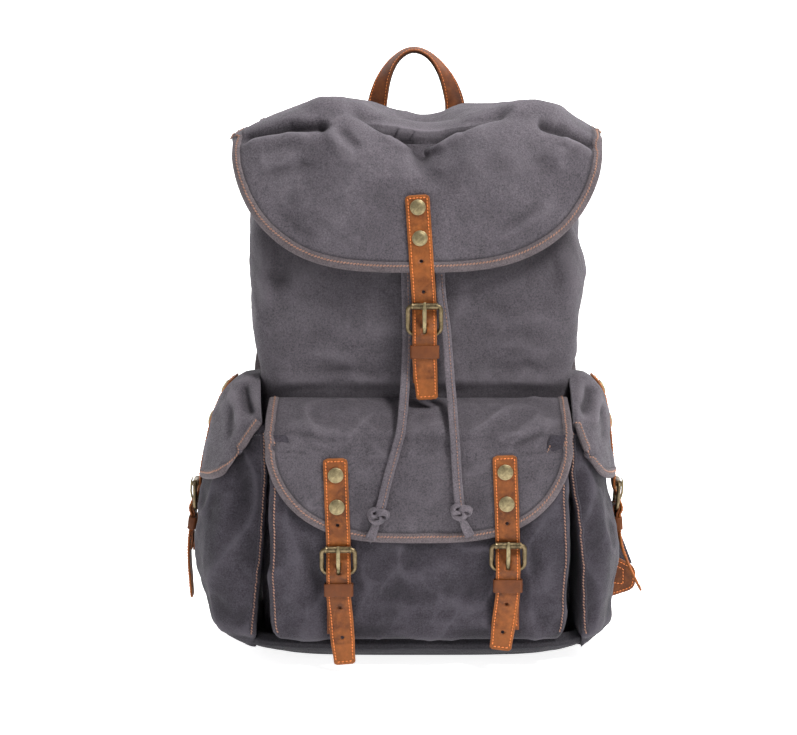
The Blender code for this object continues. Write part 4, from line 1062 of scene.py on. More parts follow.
    # turned hem of the mouth
    k = P2.shape[0] - 1
    hem = P2[k - 5:k - 4, 40:-40][0]
    S, NN = skin.snap(hem, 0.12)
    h = stitches("pocket_hem_stitches", [(S, NN)], THREAD_PALE, 2.8, 2.5, 1.2, 0.65, 0.4)
    ride(h, "bag")
    return skin


def pocket_flap_grid(nu, nv):
    """Cloth from its seam on the bag, over the fold and down to its rounded end."""
    s = np.linspace(-1, 1, nu)
    a = np.abs(s)
    length = 12 + 79.5 * np.maximum(0.0, 1 - a ** 3.1) ** (1 / 1.85)
    slope = math.hypot(38.0, 21.0)
    arc = 9.0
    total = slope + arc + length
    v = np.linspace(0, 1, nv)
    d = v[:, None] * total[None]
    ys, zs = -70.6, 229.5
    ye, ze = -109.4, 208.6
    t1 = np.clip(d / slope, 0, 1)
    y = ys + (ye - ys) * t1
    z = zs + (ze - zs) * t1 + 2.6 * np.sin(math.pi * t1)
    f = np.clip((d - slope) / arc, 0, 1)
    a0 = math.atan2(ys - ye, 1) * 0
    ang = f * math.radians(62)
    r = 8.6
    y = np.where(d > slope, ye - r * (np.sin(math.radians(28) + ang) - math.sin(math.radians(28))), y)
    z = np.where(d > slope, ze - r * (math.cos(math.radians(28)) - np.cos(math.radians(28) + ang)), z)
    yf = ye - r * (1 - math.sin(math.radians(28)))
    zf = ze - r * math.cos(math.radians(28))
    rest = np.maximum(0, d - slope - arc)
    k = sm(rest / 18.0)
    y = np.where(d > slope + arc, yf + (FLAP_Y + a[None] ** 6 - yf) * k, y)
    z = np.where(d > slope + arc, zf - rest * (zf - (FOLD_Z - 0.6 - length[None])) / length[None], z)
    x = 1.0 + s[None] * (127.6 + 1.4 * sm(d / 40.0))
    return np.stack([x + 0 * d, y, z], -1)


def build_pocket_flap():
    P = pocket_flap_grid(240, 150)
    N = grid_normals(P)
    N = N * (1 if (N @ np.array([0, -1.0, 0.6])).sum() > 0 else -1)
    X, Y, Z = P[..., 0], P[..., 1], P[..., 2]
    D = (2.0 * noise(P, 70, 61) + 1.6 * noise(P, 32, 62) + 2.2 * (folds(P, 56, 63, 2.6) - 0.3)
         + 0.5 * noise(P, 15, 64) + 0.28 * noise(P, 7, 65) + 0.12 * noise(P, 3.6, 66))
    # folds that run in from both ends where the cloth turns over
    D += crease(X, Z, [(-122, 205), (-104, 206.5), (-88, 203.4), (-70, 196)], 3.2, -1.5, 0.3)
    D += crease(X, Z, [(-120, 210), (-98, 211), (-78, 207), (-54, 205)], 5, 2.6, 0.25)
    D += crease(X, Z, [(128, 208), (114, 208.5), (103, 204), (82, 196), (66, 193)], 3.2, -1.5, 0.3)
    D += crease(X, Z, [(124, 213), (104, 211), (84, 203), (60, 200)], 5, 2.4, 0.25)
    D += crease(X, Z, [(-96, 192), (-86, 170), (-70, 152)], 9, 1.4)
    D += crease(X, Z, [(-60, 214), (-20, 206), (20, 210), (52, 205)], 6, 1.6)
    D += crease(X, Z, [(-20, 186), (8, 178), (34, 184)], 8, 1.3)
    D += crease(X, Z, [(112, 180), (98, 160), (74, 146)], 9, 1.4)
    D += crease(X, Z, [(-112, 226), (-70, 220), (-30, 223)], 6, 1.7)
    D += crease(X, Z, [(20, 222), (70, 219), (112, 226)], 6, 1.6)
    r = np.arange(P.shape[0])[:, None]
    c = np.arange(P.shape[1])[None]
    D += crease(X, Z, [(-124, 189), (-104, 190), (-86, 187)], 1.7, -1.0, 0.3)
    D += crease(X, Z, [(124, 191), (104, 190), (88, 187)], 1.7, -1.0, 0.3)
    D = D * (0.3 + 0.7 * sm((P.shape[0] - 1 - r) / 9.0)) * (0.3 + 0.7 * sm(np.minimum(c, P.shape[1] - 1 - c) / 7.0)) * sm(r / 6.0)
    straps = np.maximum(np.exp(-((X + 68) / 15.0) ** 4), np.exp(-((X - 75) / 15.0) ** 4)) * sm((190 - Z) / 8)
    cords = np.maximum(np.exp(-((X + 24) / 16.0) ** 4), np.exp(-((X - 33) / 13.0) ** 4))
    D = np.minimum(D, 1.1 + 4.0 * sm((Z - 200) / 9.0))
    D = D * (1 - straps) + straps * 0.1
    D = D * (1 - 0.75 * cords) - 0.3 * cords
    D = np.clip(D, -2.0, 4.2)
    P2 = P + N * D[..., None]
    # painted highlight on ridges along with the crease marks; painted shadow line beside the tape, painted shade in
    # hollows, and the whole flap evenly darker
    wear_and_highlight, painted_hollow_shade = tones(D, gain=1.3)
    wear_and_highlight = np.clip(wear_and_highlight + marks(P, 371), 0, 1)
    start = 3
    edge_line = np.vstack([P2[start:, 0], P2[-1, 1:], P2[start:-1, -1][::-1]])
    flap = grid("pocket_flap_cloth", P2, CANVAS, toward=(0, -1, 0.6), thick=2.0,
                attrs={"wear_and_highlight": wear_and_highlight, "shade": np.clip(edge_shade(P2, edge_line, 8.2, 1.2) + 0.8 * painted_hollow_shade + 0.3, 0, 1)})
    skin = Skin(P2, (0, -1, 0.6))
    bind, run = binding("pocket_flap_binding", skin, edge_line, (0, -112, 190), 2.0, BINDING, 7.6, 1.15)
    st = stitches("pocket_flap_stitches", [run], THREAD_PALE, 2.8, 2.6, 1.3, 0.7, 0.5)
    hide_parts("front_flap")
    me = grid_area(P2)
    w, length = 0.258, 0.14
    while me > w * length:
        length += 0.002
    for o in (flap, bind, st):
        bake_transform(o)
    return skin


# --------------------------------------------------------------- side pockets
def rounded_poly(corners, n):
    """Closed outline through corners (x, y, radius), evenly resampled."""
    pts, m = [], len(corners)
    for i in range(m):
        p0, p1, p2 = (np.array(corners[(i + j) % m][:2], float) for j in (-1, 0, 1))
        r = corners[i][2]
        a, b = norm(p0 - p1), norm(p2 - p1)
        half = math.acos(max(-1, min(1, float(a @ b)))) / 2
        d = min(r / math.tan(half), 0.48 * np.linalg.norm(p0 - p1), 0.48 * np.linalg.norm(p2 - p1))
        s, e = p1 + a * d, p1 + b * d
        for t in np.linspace(0, 1, 12):
            q = (1 - t) ** 2 * s + 2 * t * (1 - t) * p1 + t * t * e
            pts.append(q * 0.75 + ((1 - t) * s + t * e) * 0.25 if r > 8 else q)
    return resample(np.array(pts), count=n, closed=True)


def build_side_pocket(tag, table, ridge, sx):
    zs = np.concatenate([np.linspace(9.4, 22, 9), np.linspace(24, 209, 108)])
    n = 230
    rows = []
    for z in zs:
        xi, xo, y0, y1 = table_at(table, min(z, 207))
        xr = spline_at(ridge, z)
        yr = RIDGE_Y + 20 * (1 - sm((z - 8) / 26.0))
        bulge = 4.0 * np.exp(-((z - 95) / 60.0) ** 2)
        corners = [(xi, y1, 7.0), (xi, -64, 4.0), (xr, yr + 10, 3.0), (xr, yr, 3.2),
                   (xo - sx * 12, y0 - bulge - 2, 24.0), (xo + sx * 0.0, y0 + 34, 22.0), (xo, y1 - 26, 22.0),
                   (xo - sx * 14, y1, 20.0)]
        R = rounded_poly(corners, n)
        rows.append(np.column_stack([R, np.full(n, z)]))
    P = np.array(rows)
    cen = np.array([P[0, :, 0].mean(), P[0, :, 1].mean(), 0])
    base = [(P[0] - cen) * [k, k, 1] + cen for k in (0.05, 0.4, 0.75, 0.95)]
    P = np.concatenate([np.array(base), P])
    far = sm((np.abs(P[..., 0]) - 136.0) / 22.0)
    g = sm((P[..., 2] - 160.0) / 46.0)
    P[..., 0] -= sx * (9.0 if sx < 0 else 3.0) * g * far
    P[..., 1] += 5.0 * g * far * (P[..., 1] < -50) * sm((-50 - P[..., 1]) / 26)
    P[..., 2] -= 8.0 * sm((P[..., 2] - 176.0) / 33.0) * far
    N = outward(P, grid_normals(P, wrap=True))
    N[:5] = N[5]
    X, Y, Z = P[..., 0], P[..., 1], P[..., 2]
    outer = np.clip(sx * N[..., 0], 0, 1)
    front = np.clip(-N[..., 1], 0, 1)
    back = np.clip(N[..., 1], 0, 1)
    seed = 80 if sx < 0 else 120
    W = np.clip(outer + front + back, 0, 1) * sm((Z - 10) / 14)
    D = (2.8 * noise(P, 55, seed) + 2.2 * noise(P * [1, 1, .5], 27, seed + 1)
         + 4.0 * (folds(P * [1, 1, .5], 44, seed + 2, 2.2) - 0.32)
         + 0.8 * noise(P, 13, seed + 3) + 0.35 * noise(P, 6.5, seed + 4))
    gather = sm((Z - 168) / 40)
    D += gather * (3.4 * (folds(P * [1, 1, .22], 24, seed + 5, 2.0) - 0.5) + 1.2 * noise(P * [1, 1, .4], 10, seed + 6))
    # cloth that settles in a fold over the base
    D += 2.4 * np.exp(-((Z - 30) / 7.0) ** 2) - 2.2 * np.exp(-((Z - 19) / 5.0) ** 2)
    D *= W
    strap = np.exp(-((Y + 16) / 17.0) ** 4) * outer
    lift = np.clip(D, -5.5, 4.2)
    lift = lift * (1 - strap) + np.minimum(lift, 0.0) * strap
    near = np.exp(-((Y - RIDGE_Y) / 7.0) ** 2) * np.exp(-((X - spline_at(ridge, Z)) / 7.0) ** 2)
    lift *= 1 - 0.8 * near
    inner = np.abs(X) < np.abs(P[..., 0][8].min() if sx > 0 else P[..., 0][8].max()) * 0 + 142.4
    P2 = P + N * np.where(inner & (Y > -62), np.minimum(lift, 0) * 0.2, lift)[..., None]
    # painted shade in hollows and towards the base; painted highlight on ridges along with the crease marks
    hi, lo = tones(D, True, gain=1.6)
    ob = grid("side_pocket_cloth_" + tag, P2, CANVAS_SHADED_LOW, wrap=True, thick=1.9,
              attrs={"wear_and_highlight": np.clip(hi * W + marks(P, 391 + sx), 0, 1), "shade": np.clip(0.9 * lo * W + 0.3 * sm((40 - Z) / 24), 0, 1)})
    ride(ob, "bag", ["side_pocket_" + tag])
    skin = Skin(P2, None, wrap=True)

    # stitched ridge on the front corner
    m = 100
    zz = np.linspace(22, 203, m)
    pts = np.column_stack([spline_at(ridge, zz) + sx * 2.6, np.full(m, RIDGE_Y - 4.0), zz])
    S, NN = skin.snap(pts, 0.0)
    F = np.tile([-sx * 0.15, -1.0, 0], (m, 1))
    rr = sweep("side_ridge_" + tag, S, norm(np.cross(tangents(S), F)), norm(F),
               [(2.5, -0.8), (2.3, 0.4), (1.2, 1.05), (-1.2, 1.05), (-2.3, 0.4), (-2.5, -0.8)], CANVAS_SHADED_LOW,
               sn=np.minimum(1, 0.3 + sm(np.arange(m) / 5) * sm((m - 1 - np.arange(m)) / 5)))
    st = stitches("side_ridge_stitches_" + tag, [(S + norm(F) * 1.15, norm(F))], THREAD_PALE, 2.8, 2.5, 1.2, 0.65, 0.4)
    # turned mouth hem
    hem = P2[-6]
    HS, HN = skin.snap(np.vstack([hem, hem[:1]]), 0.12)
    ht = stitches("side_hem_stitches_" + tag, [(HS, HN)], THREAD_GREY, 3.1, 2.2, 0.8, 0.45)
    for o in (rr, st, ht):
        ride(o, "bag")
    return skin


def build_base():
    """Boat-shaped panel that closes the bottom under all the pockets, in a darker copy of the canvas that paints the
    shade under the bag.
    """
    rows = []
    for z, x0, x1, y0, y1 in ((0.5, -118, 118, -68, 52), (2.5, -131, 131, -75, 60), (6.0, -142, 140, -84, 66),
                              (10.0, -151, 147, -93, 69), (14.0, -156, 151, -99, 68), (19.0, -156, 151, -101, 64),
                              (25.0, -150, 147, -96, 58)):
        R = superellipse(220, 4.2, x0, x1, y0, y1)
        rows.append(np.column_stack([R, np.full(220, z)]))
    P = np.array(rows)
    rr = np.linspace(0, len(P) - 1, 26)
    P = np.stack([P[int(a)] * (1 - (a - int(a))) + P[min(int(a) + 1, len(P) - 1)] * (a - int(a)) for a in rr])
    cen = np.array([P[0, :, 0].mean(), P[0, :, 1].mean(), 0])
    P = np.concatenate([np.array([(P[0] - cen) * [k, k, 1] + cen for k in (0.05, 0.5, 0.9)]), P])
    N = outward(P, grid_normals(P, wrap=True))
    D = 0.8 * noise(P, 30, 301) + 0.4 * noise(P, 11, 302) - 0.4
    P2 = P + N * (D * sm((P[..., 2] - 1) / 6))[..., None]
    P2[..., 2] = np.maximum(P2[..., 2], 0.3)
    ob = grid("base_panel", P2, CANVAS_SHADED_BASE, wrap=True, thick=1.6)
    ride(ob, "bag")


def profile_points(table, d):
    T = np.array(table, float)
    run = np.concatenate([[0], np.cumsum(np.hypot(*np.diff(T, axis=0).T))])
    return np.interp(d, run, T[:, 0]), np.interp(d, run, T[:, 1]), run[-1]


def build_side_flap(tag, table, sx):
    nu, nv = 150, 110
    # smoother version of the CAD profile
    T = np.array(table, float)
    T = catmull(np.column_stack([T, np.zeros(len(T))]), 10)[:, :2]
    tt = np.linspace(-1, 1, nu)
    s = 0.35 * tt + 0.65 * np.sin(tt * math.pi / 2)
    _, _, total = profile_points(T, 0)
    length = np.where(s < 0, total * (0.62 + 0.38 * np.sqrt(np.maximum(0.0, 1 - np.abs(s) ** 5.0))),
                      14 + (total - 14) * np.sqrt(np.maximum(0.0, 1 - np.abs(s) ** 2.8)))
    v = np.linspace(0, 1, nv)
    d = v[:, None] * length[None]
    x, z, _ = profile_points(T, d)
    y = SIDE_YC + s[None] * SIDE_HALF + 0 * d
    # its front end wraps down round the corner of the side pocket
    w = d / total
    k = sm((-s[None] - 0.36) / 0.64) + 0 * d
    ex, ez = (-169.0, 160.0) if sx < 0 else (160.5, 163.0)
    cx, cz = sx * 133.0, 212.5
    sag = np.sin(math.pi * np.clip(w, 0, 1))
    fx = cx + (ex - cx) * w + (0.0 if sx < 0 else -2.0) * sag
    fz = cz + (ez - cz) * w + (1.0 if sx < 0 else -3.0) * sag
    fy = -97.5 + 3.0 * w
    x, y, z = x * (1 - k) + fx * k, y * (1 - k) + fy * k, z * (1 - k) + fz * k
    k2 = sm((s[None] + 0.1) / 1.1)
    z = z - 17 * k2
    x = x - sx * 7.0 * (1 - sm(d / 9.0)) * (1 - k)
    P = np.stack([x, y, z], -1)
    N = grid_normals(P)
    N = N * (1 if (N @ np.array([sx, 0, 0.6])).sum() > 0 else -1)
    seed = 160 if sx < 0 else 200
    D = (1.6 * noise(P, 52, seed) + 1.0 * noise(P, 24, seed + 1) + 1.8 * (folds(P * [1, 1, .8], 44, seed + 2, 2.5) - 0.3)
         + 0.5 * noise(P, 12, seed + 3) + 0.25 * noise(P, 6, seed + 4))
    A, B = P[..., 1], P[..., 2]
    D += crease(A, B, [(-66, 226), (-46, 212), (-34, 190)], 6, 2.4)
    D += crease(A, B, [(-58, 222), (-42, 204), (-36, 186)], 3.5, -1.8)
    D += crease(A, B, [(30, 232), (20, 206), (8, 184)], 6, 1.8)
    E = sx * P[..., 0]
    fr = sm((-A - 44) / 20)
    D += fr * crease(E, B, [(152, 243), (148, 228), (140, 214)], 5.0, -6.0)
    D += fr * crease(E, B, [(163, 238), (156, 222), (150, 204)], 4.0, 3.0)
    D += fr * crease(E, B, [(158, 226), (162, 206), (164, 188)], 5.0, -2.6)
    r = np.arange(nv)[:, None]
    D = D * (0.35 + 0.65 * sm((nv - 1 - r) / 8.0)) * (0.35 + 0.65 * sm((1 - np.abs(s[None])) * 68 / 5.0)) * sm(r / 8.0)
    strap = np.exp(-((A + 16) / 15.0) ** 4)
    D = D * (1 - strap) + strap * 0.1
    D = np.clip(D, -1.6 - 5.0 * fr, 4.0)
    P2 = P + N * D[..., None]
    # painted highlight on ridges and painted shade in hollows
    ob = grid("side_flap_cloth_" + tag, P2, CANVAS, toward=(sx, 0, 0.6), thick=2.0,
              attrs={"wear_and_highlight": tones(D, gain=1.4)[0], "shade": tones(D, gain=1.4)[1]})
    skin = Skin(P2, (sx, 0, 0.6))
    edge_line = np.vstack([P2[2:, 0], P2[-1, 1:], P2[2:-1, -1][::-1]])
    bind, run = binding("side_flap_binding_" + tag, skin, edge_line, (sx * 170, -16, 210), 2.0, BINDING, 7.2, 1.1)
    st = stitches("side_flap_stitches_" + tag, [run], THREAD_PALE, 2.8, 2.5, 1.25, 0.65, 0.45)
    me = grid_area(P2)
    w, ln = 0.138, 0.118
    while me > w * ln:
        ln += 0.002
    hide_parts("side_flap_" + tag)
    body = "side_flap_%s_body" % tag
    for o in (ob, bind, st):
        ride(o, body)
    return skin


# ---------------------------------------------------------------------- straps
class Strap:
    def __init__(self, key, origin, across, out, down, h, keeper, tip, snaps, holes, upper, lower, lean, chape_end,
                 body):
        self.key, self.h, self.keeper, self.tip = key, h, keeper, tip
        self.snaps, self.holes, self.chape_end, self.body = snaps, holes, chape_end, body
        self.o, self.u, self.n, self.t = (np.array(v, float) for v in (origin, across, out, down))
        self.upper, self.lower = upper, lower
        self.lean = np.array(lean, float)

    def place(self, u, n, t, lean=True):
        u, n, t = np.broadcast_arrays(np.asarray(u, float), np.asarray(n, float), np.asarray(t, float))
        du = np.interp(t, self.lean[:, 0], self.lean[:, 1]) if lean else 0 * t
        return self.o + self.u * (u + du)[..., None] + self.n * n[..., None] + self.t * t[..., None]

    def billet_path(self):
        h, k = self.h, self.keeper
        mid = [(0.0, -0.5), (4.5, -0.2), (h - 9.5, 2.4), (h - 4, 5.1), (h, 6.1), (h + 3.0, 5.7), (h + 6.0, 3.6),
               (h + 7.5, 3.3), (k, 3.3), (k + 8, 3.3)]
        return self.upper + mid + self.lower


def smooth_path(path, step=1.3):
    P = np.column_stack([np.array(path, float), np.zeros(len(path))])
    C = resample(P, step=0.8)
    for _ in range(4):
        C[1:-1] = (C[:-2] + 2 * C[1:-1] + C[2:]) / 4
    return resample(C, step=step)[:, :2]


def leather_band(name, s, path, hw, ht, mat, lean=True, su=None, seed=0):
    tn = smooth_path(path)
    C = s.place(0, tn[:, 1], tn[:, 0], lean)
    T = tangents(C)
    U = np.tile(s.u, (len(C), 1))
    U = norm(U - T * (U * T).sum(1, keepdims=True))
    N = norm(np.cross(U, T))
    i = len(tn) // 6
    if s.n @ N[i] < 0:
        N = -N
    C = C + N * (0.12 * noise(C, 9, seed + 0.5))[:, None] + U * (0.22 * noise(C, 26, seed + 1.5))[:, None]
    prof = []
    g = hw - 2.3
    for x, y in ((hw, 0.0), (hw - 0.12, ht * 0.55), (hw - 0.55, ht * 0.93), (hw - 1.2, ht), (g + 0.45, ht),
                 (g, ht - 0.16), (g - 0.45, ht), (g * 0.5, ht), (0, ht)):
        prof.append((x, y))
    full = prof + [(-x, y) for x, y in prof[-2::-1]]
    full = full + [(x, -y) for x, y in full[-2:0:-1] if abs(abs(x) - g) > 0.1 or True]
    full = [(x, (y if y > -ht + 0.3 else -ht)) for x, y in full]
    w = np.array([1.0 if abs(x) > hw - 0.9 else (0.45 if abs(x) > g - 0.2 else 0.0) for x, y in full])
    E = np.tile(w, (len(C), 1)) * (0.8 + 0.35 * noise(C, 12, seed + 2.5))[:, None]
    su = np.ones(len(C)) if su is None else su(tn)
    E = np.maximum(E, ((su < 0.97) * 0.9)[:, None])
    ob = sweep(name, C, U, N, full, mat, su=su, attrs={"edge": np.clip(E, 0, 1)})
    return ob, C, U, N, tn, su


def build_strap(s):
    h, k, key = s.h, s.keeper, s.key
    path = s.billet_path()
    t0, t1, hw, ht = path[0][0], s.tip, 10.4, 1.0

    def outline(tn):
        t = tn[:, 0]
        top, end = t - t0, t1 - t
        r = 3.6
        a = np.where(top < r, (hw - r + np.sqrt(np.maximum(0, r * r - (r - top) ** 2))) / hw, 1.0)
        taper = 1.0 - 0.10 * sm((26 - end) / 22)
        c = 2.6
        b = np.where(end < c, (hw - c + np.sqrt(np.maximum(0, c * c - (c - end) ** 2)) * 1.0) / hw, 1.0)
        return a * b * taper

    ob, C, U, N, tn, su = leather_band(key + "_billet_leather", s, path, hw, ht, TAN, True, outline, hash_seed(key))
    at = lambda t: int(np.argmin(np.abs(tn[:, 0] - t)))
    cutters = []
    for t in s.holes:
        i = at(t)
        cutters.append(rod(C[i], N[i], 1.55, 9))
    for t in np.linspace(h - 8.2, h - 1.8, 5):
        i = at(t)
        cutters.append(rod(C[i], N[i], 1.9, 7, 14))
    cut(ob, cutters)
    ride(ob, s.body, [key + "_billet"])

    # thread down both edges, across the riveted end and the tip
    runs = []
    a, b = at(t0 + 2.6), at(t1 - 2.8)
    for sg in (1, -1):
        off = (hw - 2.3) * su[a:b]
        runs.append((C[a:b] + U[a:b] * (sg * off)[:, None] + N[a:b] * (ht - 0.04), N[a:b]))
    for i in (a, b):
        w = np.linspace(-1, 1, 15) * (hw - 2.9) * su[i]
        runs.append((C[i] + U[i] * w[:, None] + N[i] * (ht - 0.04), np.tile(N[i], (15, 1))))
    st = stitches(key + "_billet_stitches", runs, THREAD, 2.75, 2.25, 1.05, 0.62, 0.10, 0.0)
    ride(st, s.body)

    # chape folded round the heel bar
    rad, cn, end = 2.85, 1.0, s.chape_end
    fold = [(end, -2.2), (h + 12, -2.2), (h + 4, -2.1)]
    for i in range(9):
        bb = math.radians(i * 205 / 8)
        fold.append((h - rad * math.sin(bb), cn - rad * math.cos(bb)))
    fold += [(h + 3.4, 2.3), (h + 5.0, 1.45), (h + 6.6, 1.2), (k + 9, 1.2), (k + 16, 0.0), (end, 0.0)]
    dense = resample(np.column_stack([np.array(fold), np.zeros(len(fold))]), step=0.9)[:, :2]
    for _ in range(2):
        dense[1:-1] = (dense[:-2] + 2 * dense[1:-1] + dense[2:]) / 4
    CC = s.place(0, dense[:, 1], dense[:, 0], False)
    TT = tangents(CC)
    UU = np.tile(s.u, (len(CC), 1))
    NN = norm(np.cross(UU, TT))
    ww, tt = 9.8, 0.8
    prof = rounded(ww, tt, 0.55, 3)
    ew = np.array([1.0 if abs(x) > ww - 0.9 else 0.0 for x, y in prof])
    ch = sweep(key + "_chape_leather", CC, UU, NN, prof, BROWN, attrs={"edge": np.tile(ew, (len(CC), 1))})
    slot = []
    for t in np.linspace(h - 6, h + 4.5, 6):
        slot.append(rod(s.place(0, 1.0, t, False), s.n, 2.1, 12, 12))
    cut(ch, slot)
    ride(ch, s.body, [key + "_chape"])
    run = []
    for sg in (1, -1):
        tz = np.linspace(h + 8, end - 3, 40)
        nz = np.interp(tz, [h + 8, k + 9, k + 16, end], [1.2, 1.2, 0.0, 0.0])
        run.append((s.place(sg * (ww - 2.0), nz + tt - 0.02, tz, False), np.tile(s.n, (40, 1))))
    st2 = stitches(key + "_chape_stitches", run, THREAD, 2.75, 2.2, 1.0, 0.6, 0.1, 0.0)
    ride(st2, s.body)

    # buckle frame, one heavy bent wire
    fh = 14.0
    pts = []
    for (cu, ct), a0, cr in zip([(-fh, 0), (fh, 0), (fh, h), (-fh, h)], (180, 270, 0, 90), (3.4, 3.4, 6.0, 6.0)):
        cc = (cu - math.copysign(cr, cu), ct + (cr if ct == 0 else -cr))
        for i in range(9):
            aa = math.radians(a0 + i * 90 / 8)
            pts.append((cc[0] + cr * math.cos(aa), cc[1] + cr * math.sin(aa)))
    pts = resample(np.array(pts), count=120, closed=True)
    nn = 4.0 + (1.0 - 4.0) * np.clip(pts[:, 1] / h, 0, 1)
    F = s.place(pts[:, 0], nn, pts[:, 1], False)
    FT = tangents(F, True)
    FN = np.tile(s.n, (len(F), 1))
    FU = norm(np.cross(FT, FN))
    FN = norm(np.cross(FU, FT))
    wire = [(2.0 * math.cos(a) * 0.96, 1.8 * math.sin(a)) for a in np.linspace(0, 2 * math.pi, 14, endpoint=False)]
    fr = sweep(key + "_buckle_frame", F, FU, FN, wire, BRASS, closed=True)
    ride(fr, s.body, [key + "_buckle"])

    # roller with turned ends
    c = s.place(0, 4.0, 0, False)
    prof = [(2.15, -11.2), (2.7, -11.3), (3.05, -10.9), (3.1, -10.2), (2.85, -9.7), (2.8, -9.0), (2.85, 0), (2.8, 9.0),
            (2.85, 9.7), (3.1, 10.2), (3.05, 10.9), (2.7, 11.3), (2.15, 11.2)]
    ro = lathe(key + "_roller_sleeve", c, s.u, prof, BRASS, 28, closed=True)
    ride(ro, key + "_roller_body", [key + "_roller"])

    # prong
    pr = []
    for a in (250, 225, 200, 175, 150, 125, 100, 75, 50, 25, 0):
        bb = math.radians(a)
        pr.append((h + 2.65 * math.sin(bb), cn + 2.65 * math.cos(bb)))
    pr += [(h - 3, 3.85), (h - 5, 4.7), (h - 8, 6.2), (h - 12, 7.5), (4.0, 8.1), (0.0, 8.2), (-3.6, 7.6)]
    d2 = resample(np.column_stack([np.array(pr), np.zeros(len(pr))]), step=0.7)[:, :2]
    d2[1:-1] = (d2[:-2] + 2 * d2[1:-1] + d2[2:]) / 4
    PC = s.place(0, d2[:, 1], d2[:, 0], False)
    PU = np.tile(s.u, (len(PC), 1))
    PN = norm(np.cross(PU, tangents(PC)))
    m = len(PC)
    tip = 1 - 0.45 * sm((np.arange(m) - (m - 9)) / 8.0)
    pg = sweep(key + "_prong", PC, PU, PN, rounded(1.65, 0.85, 0.65, 4), BRASS_CAP, su=tip, sn=tip)
    ride(pg, key + "_tongue_body", [key + "_tongue"])

    # keeper band
    band = []
    for cu_, cn_, a0 in ((11.5, 5.2, 0), (-11.5, 5.2, 90), (-11.5, -0.5, 180), (11.5, -0.5, 270)):
        rr = 1.5
        for i in range(7):
            aa = math.radians(a0 + i * 15)
            band.append((cu_ - math.copysign(rr, cu_) + rr * math.cos(aa),
                         cn_ + (-rr if cn_ > 0 else rr) + rr * math.sin(aa)))
    band = resample(np.array(band), count=90, closed=True)
    off = float(np.interp(k, s.lean[:, 0], s.lean[:, 1]))
    KC = s.place(band[:, 0] + off, band[:, 1], k, False)
    mid = s.place(off, 2.35, k, False)
    KT = tangents(KC, True)
    KU = np.tile(s.t, (len(KC), 1))
    KN = norm(np.cross(KU, KT))
    KN *= np.sign(((KC - mid) * KN).sum(1).mean())
    prof = rounded(5.6, 0.75, 0.6, 4)
    ew = np.array([1.0 if abs(x) > 4.7 else 0.0 for x, y in prof])
    # the keeper band is evenly darkened with painted shade
    kp = sweep(key + "_keeper_band", KC + KN * (0.15 + 0.12 * noise(KC, 6, 7))[:, None], KU, KN, prof, BROWN, closed=True,
               attrs={"edge": np.tile(ew, (len(KC), 1)), "shade": np.full((len(KC), len(prof)), 0.25)})
    ride(kp, key + "_keeper_body", [key + "_keeper"])

    # domed snap caps on a pressed collar
    for t, tag in zip(s.snaps, ("upper", "lower")):
        i = at(t)
        cap = [(0.0, -0.6), (1.5, -0.6), (4.0, -0.1), (6.3, 0.02), (6.62, 0.25), (6.66, 0.62), (6.45, 0.98), (6.05, 1.16),
               (5.5, 1.22), (5.1, 1.5), (4.2, 1.82), (2.8, 2.05), (1.4, 2.16), (0.0, 2.18)]
        sn = lathe("%s_snap_cap_%s" % (key, tag), C[i] + N[i] * ht, N[i], cap, BRASS_CAP, 36)
        ride(sn, s.body, ["%s_snap_%s" % (key, tag)])
    return C, U, N, tn


def hash_seed(key):
    return float(sum(ord(c) * (i + 1) for i, c in enumerate(key)) % 97)


def offset_profile(table, off, origin, n_axis, t_axis, limit):
    T = np.array(table, float)
    run = np.concatenate([[0], np.cumsum(np.hypot(*np.diff(T, axis=0).T))])
    total, pts = run[-1], []
    f = lambda d: np.array([np.interp(d, run, T[:, 0]), np.interp(d, run, T[:, 1])])
    for i in range(13):
        d = 16 + (total - 17) * i / 12
        p, a, b = f(d), f(max(0.0, d - 4)), f(min(total, d + 4))
        tx, tz = b - a
        ln = math.hypot(tx, tz)
        nx, nz = -tz / ln, tx / ln
        if nx * n_axis[0] < 0:
            nx, nz = -nx, -nz
        q = np.array([p[0] + nx * off, origin[1], p[1] + nz * off]) - np.array(origin)
        t, n = float(q @ np.array(t_axis)), float(q @ np.array(n_axis))
        if t < limit:
            pts.append((t, n))
    return pts


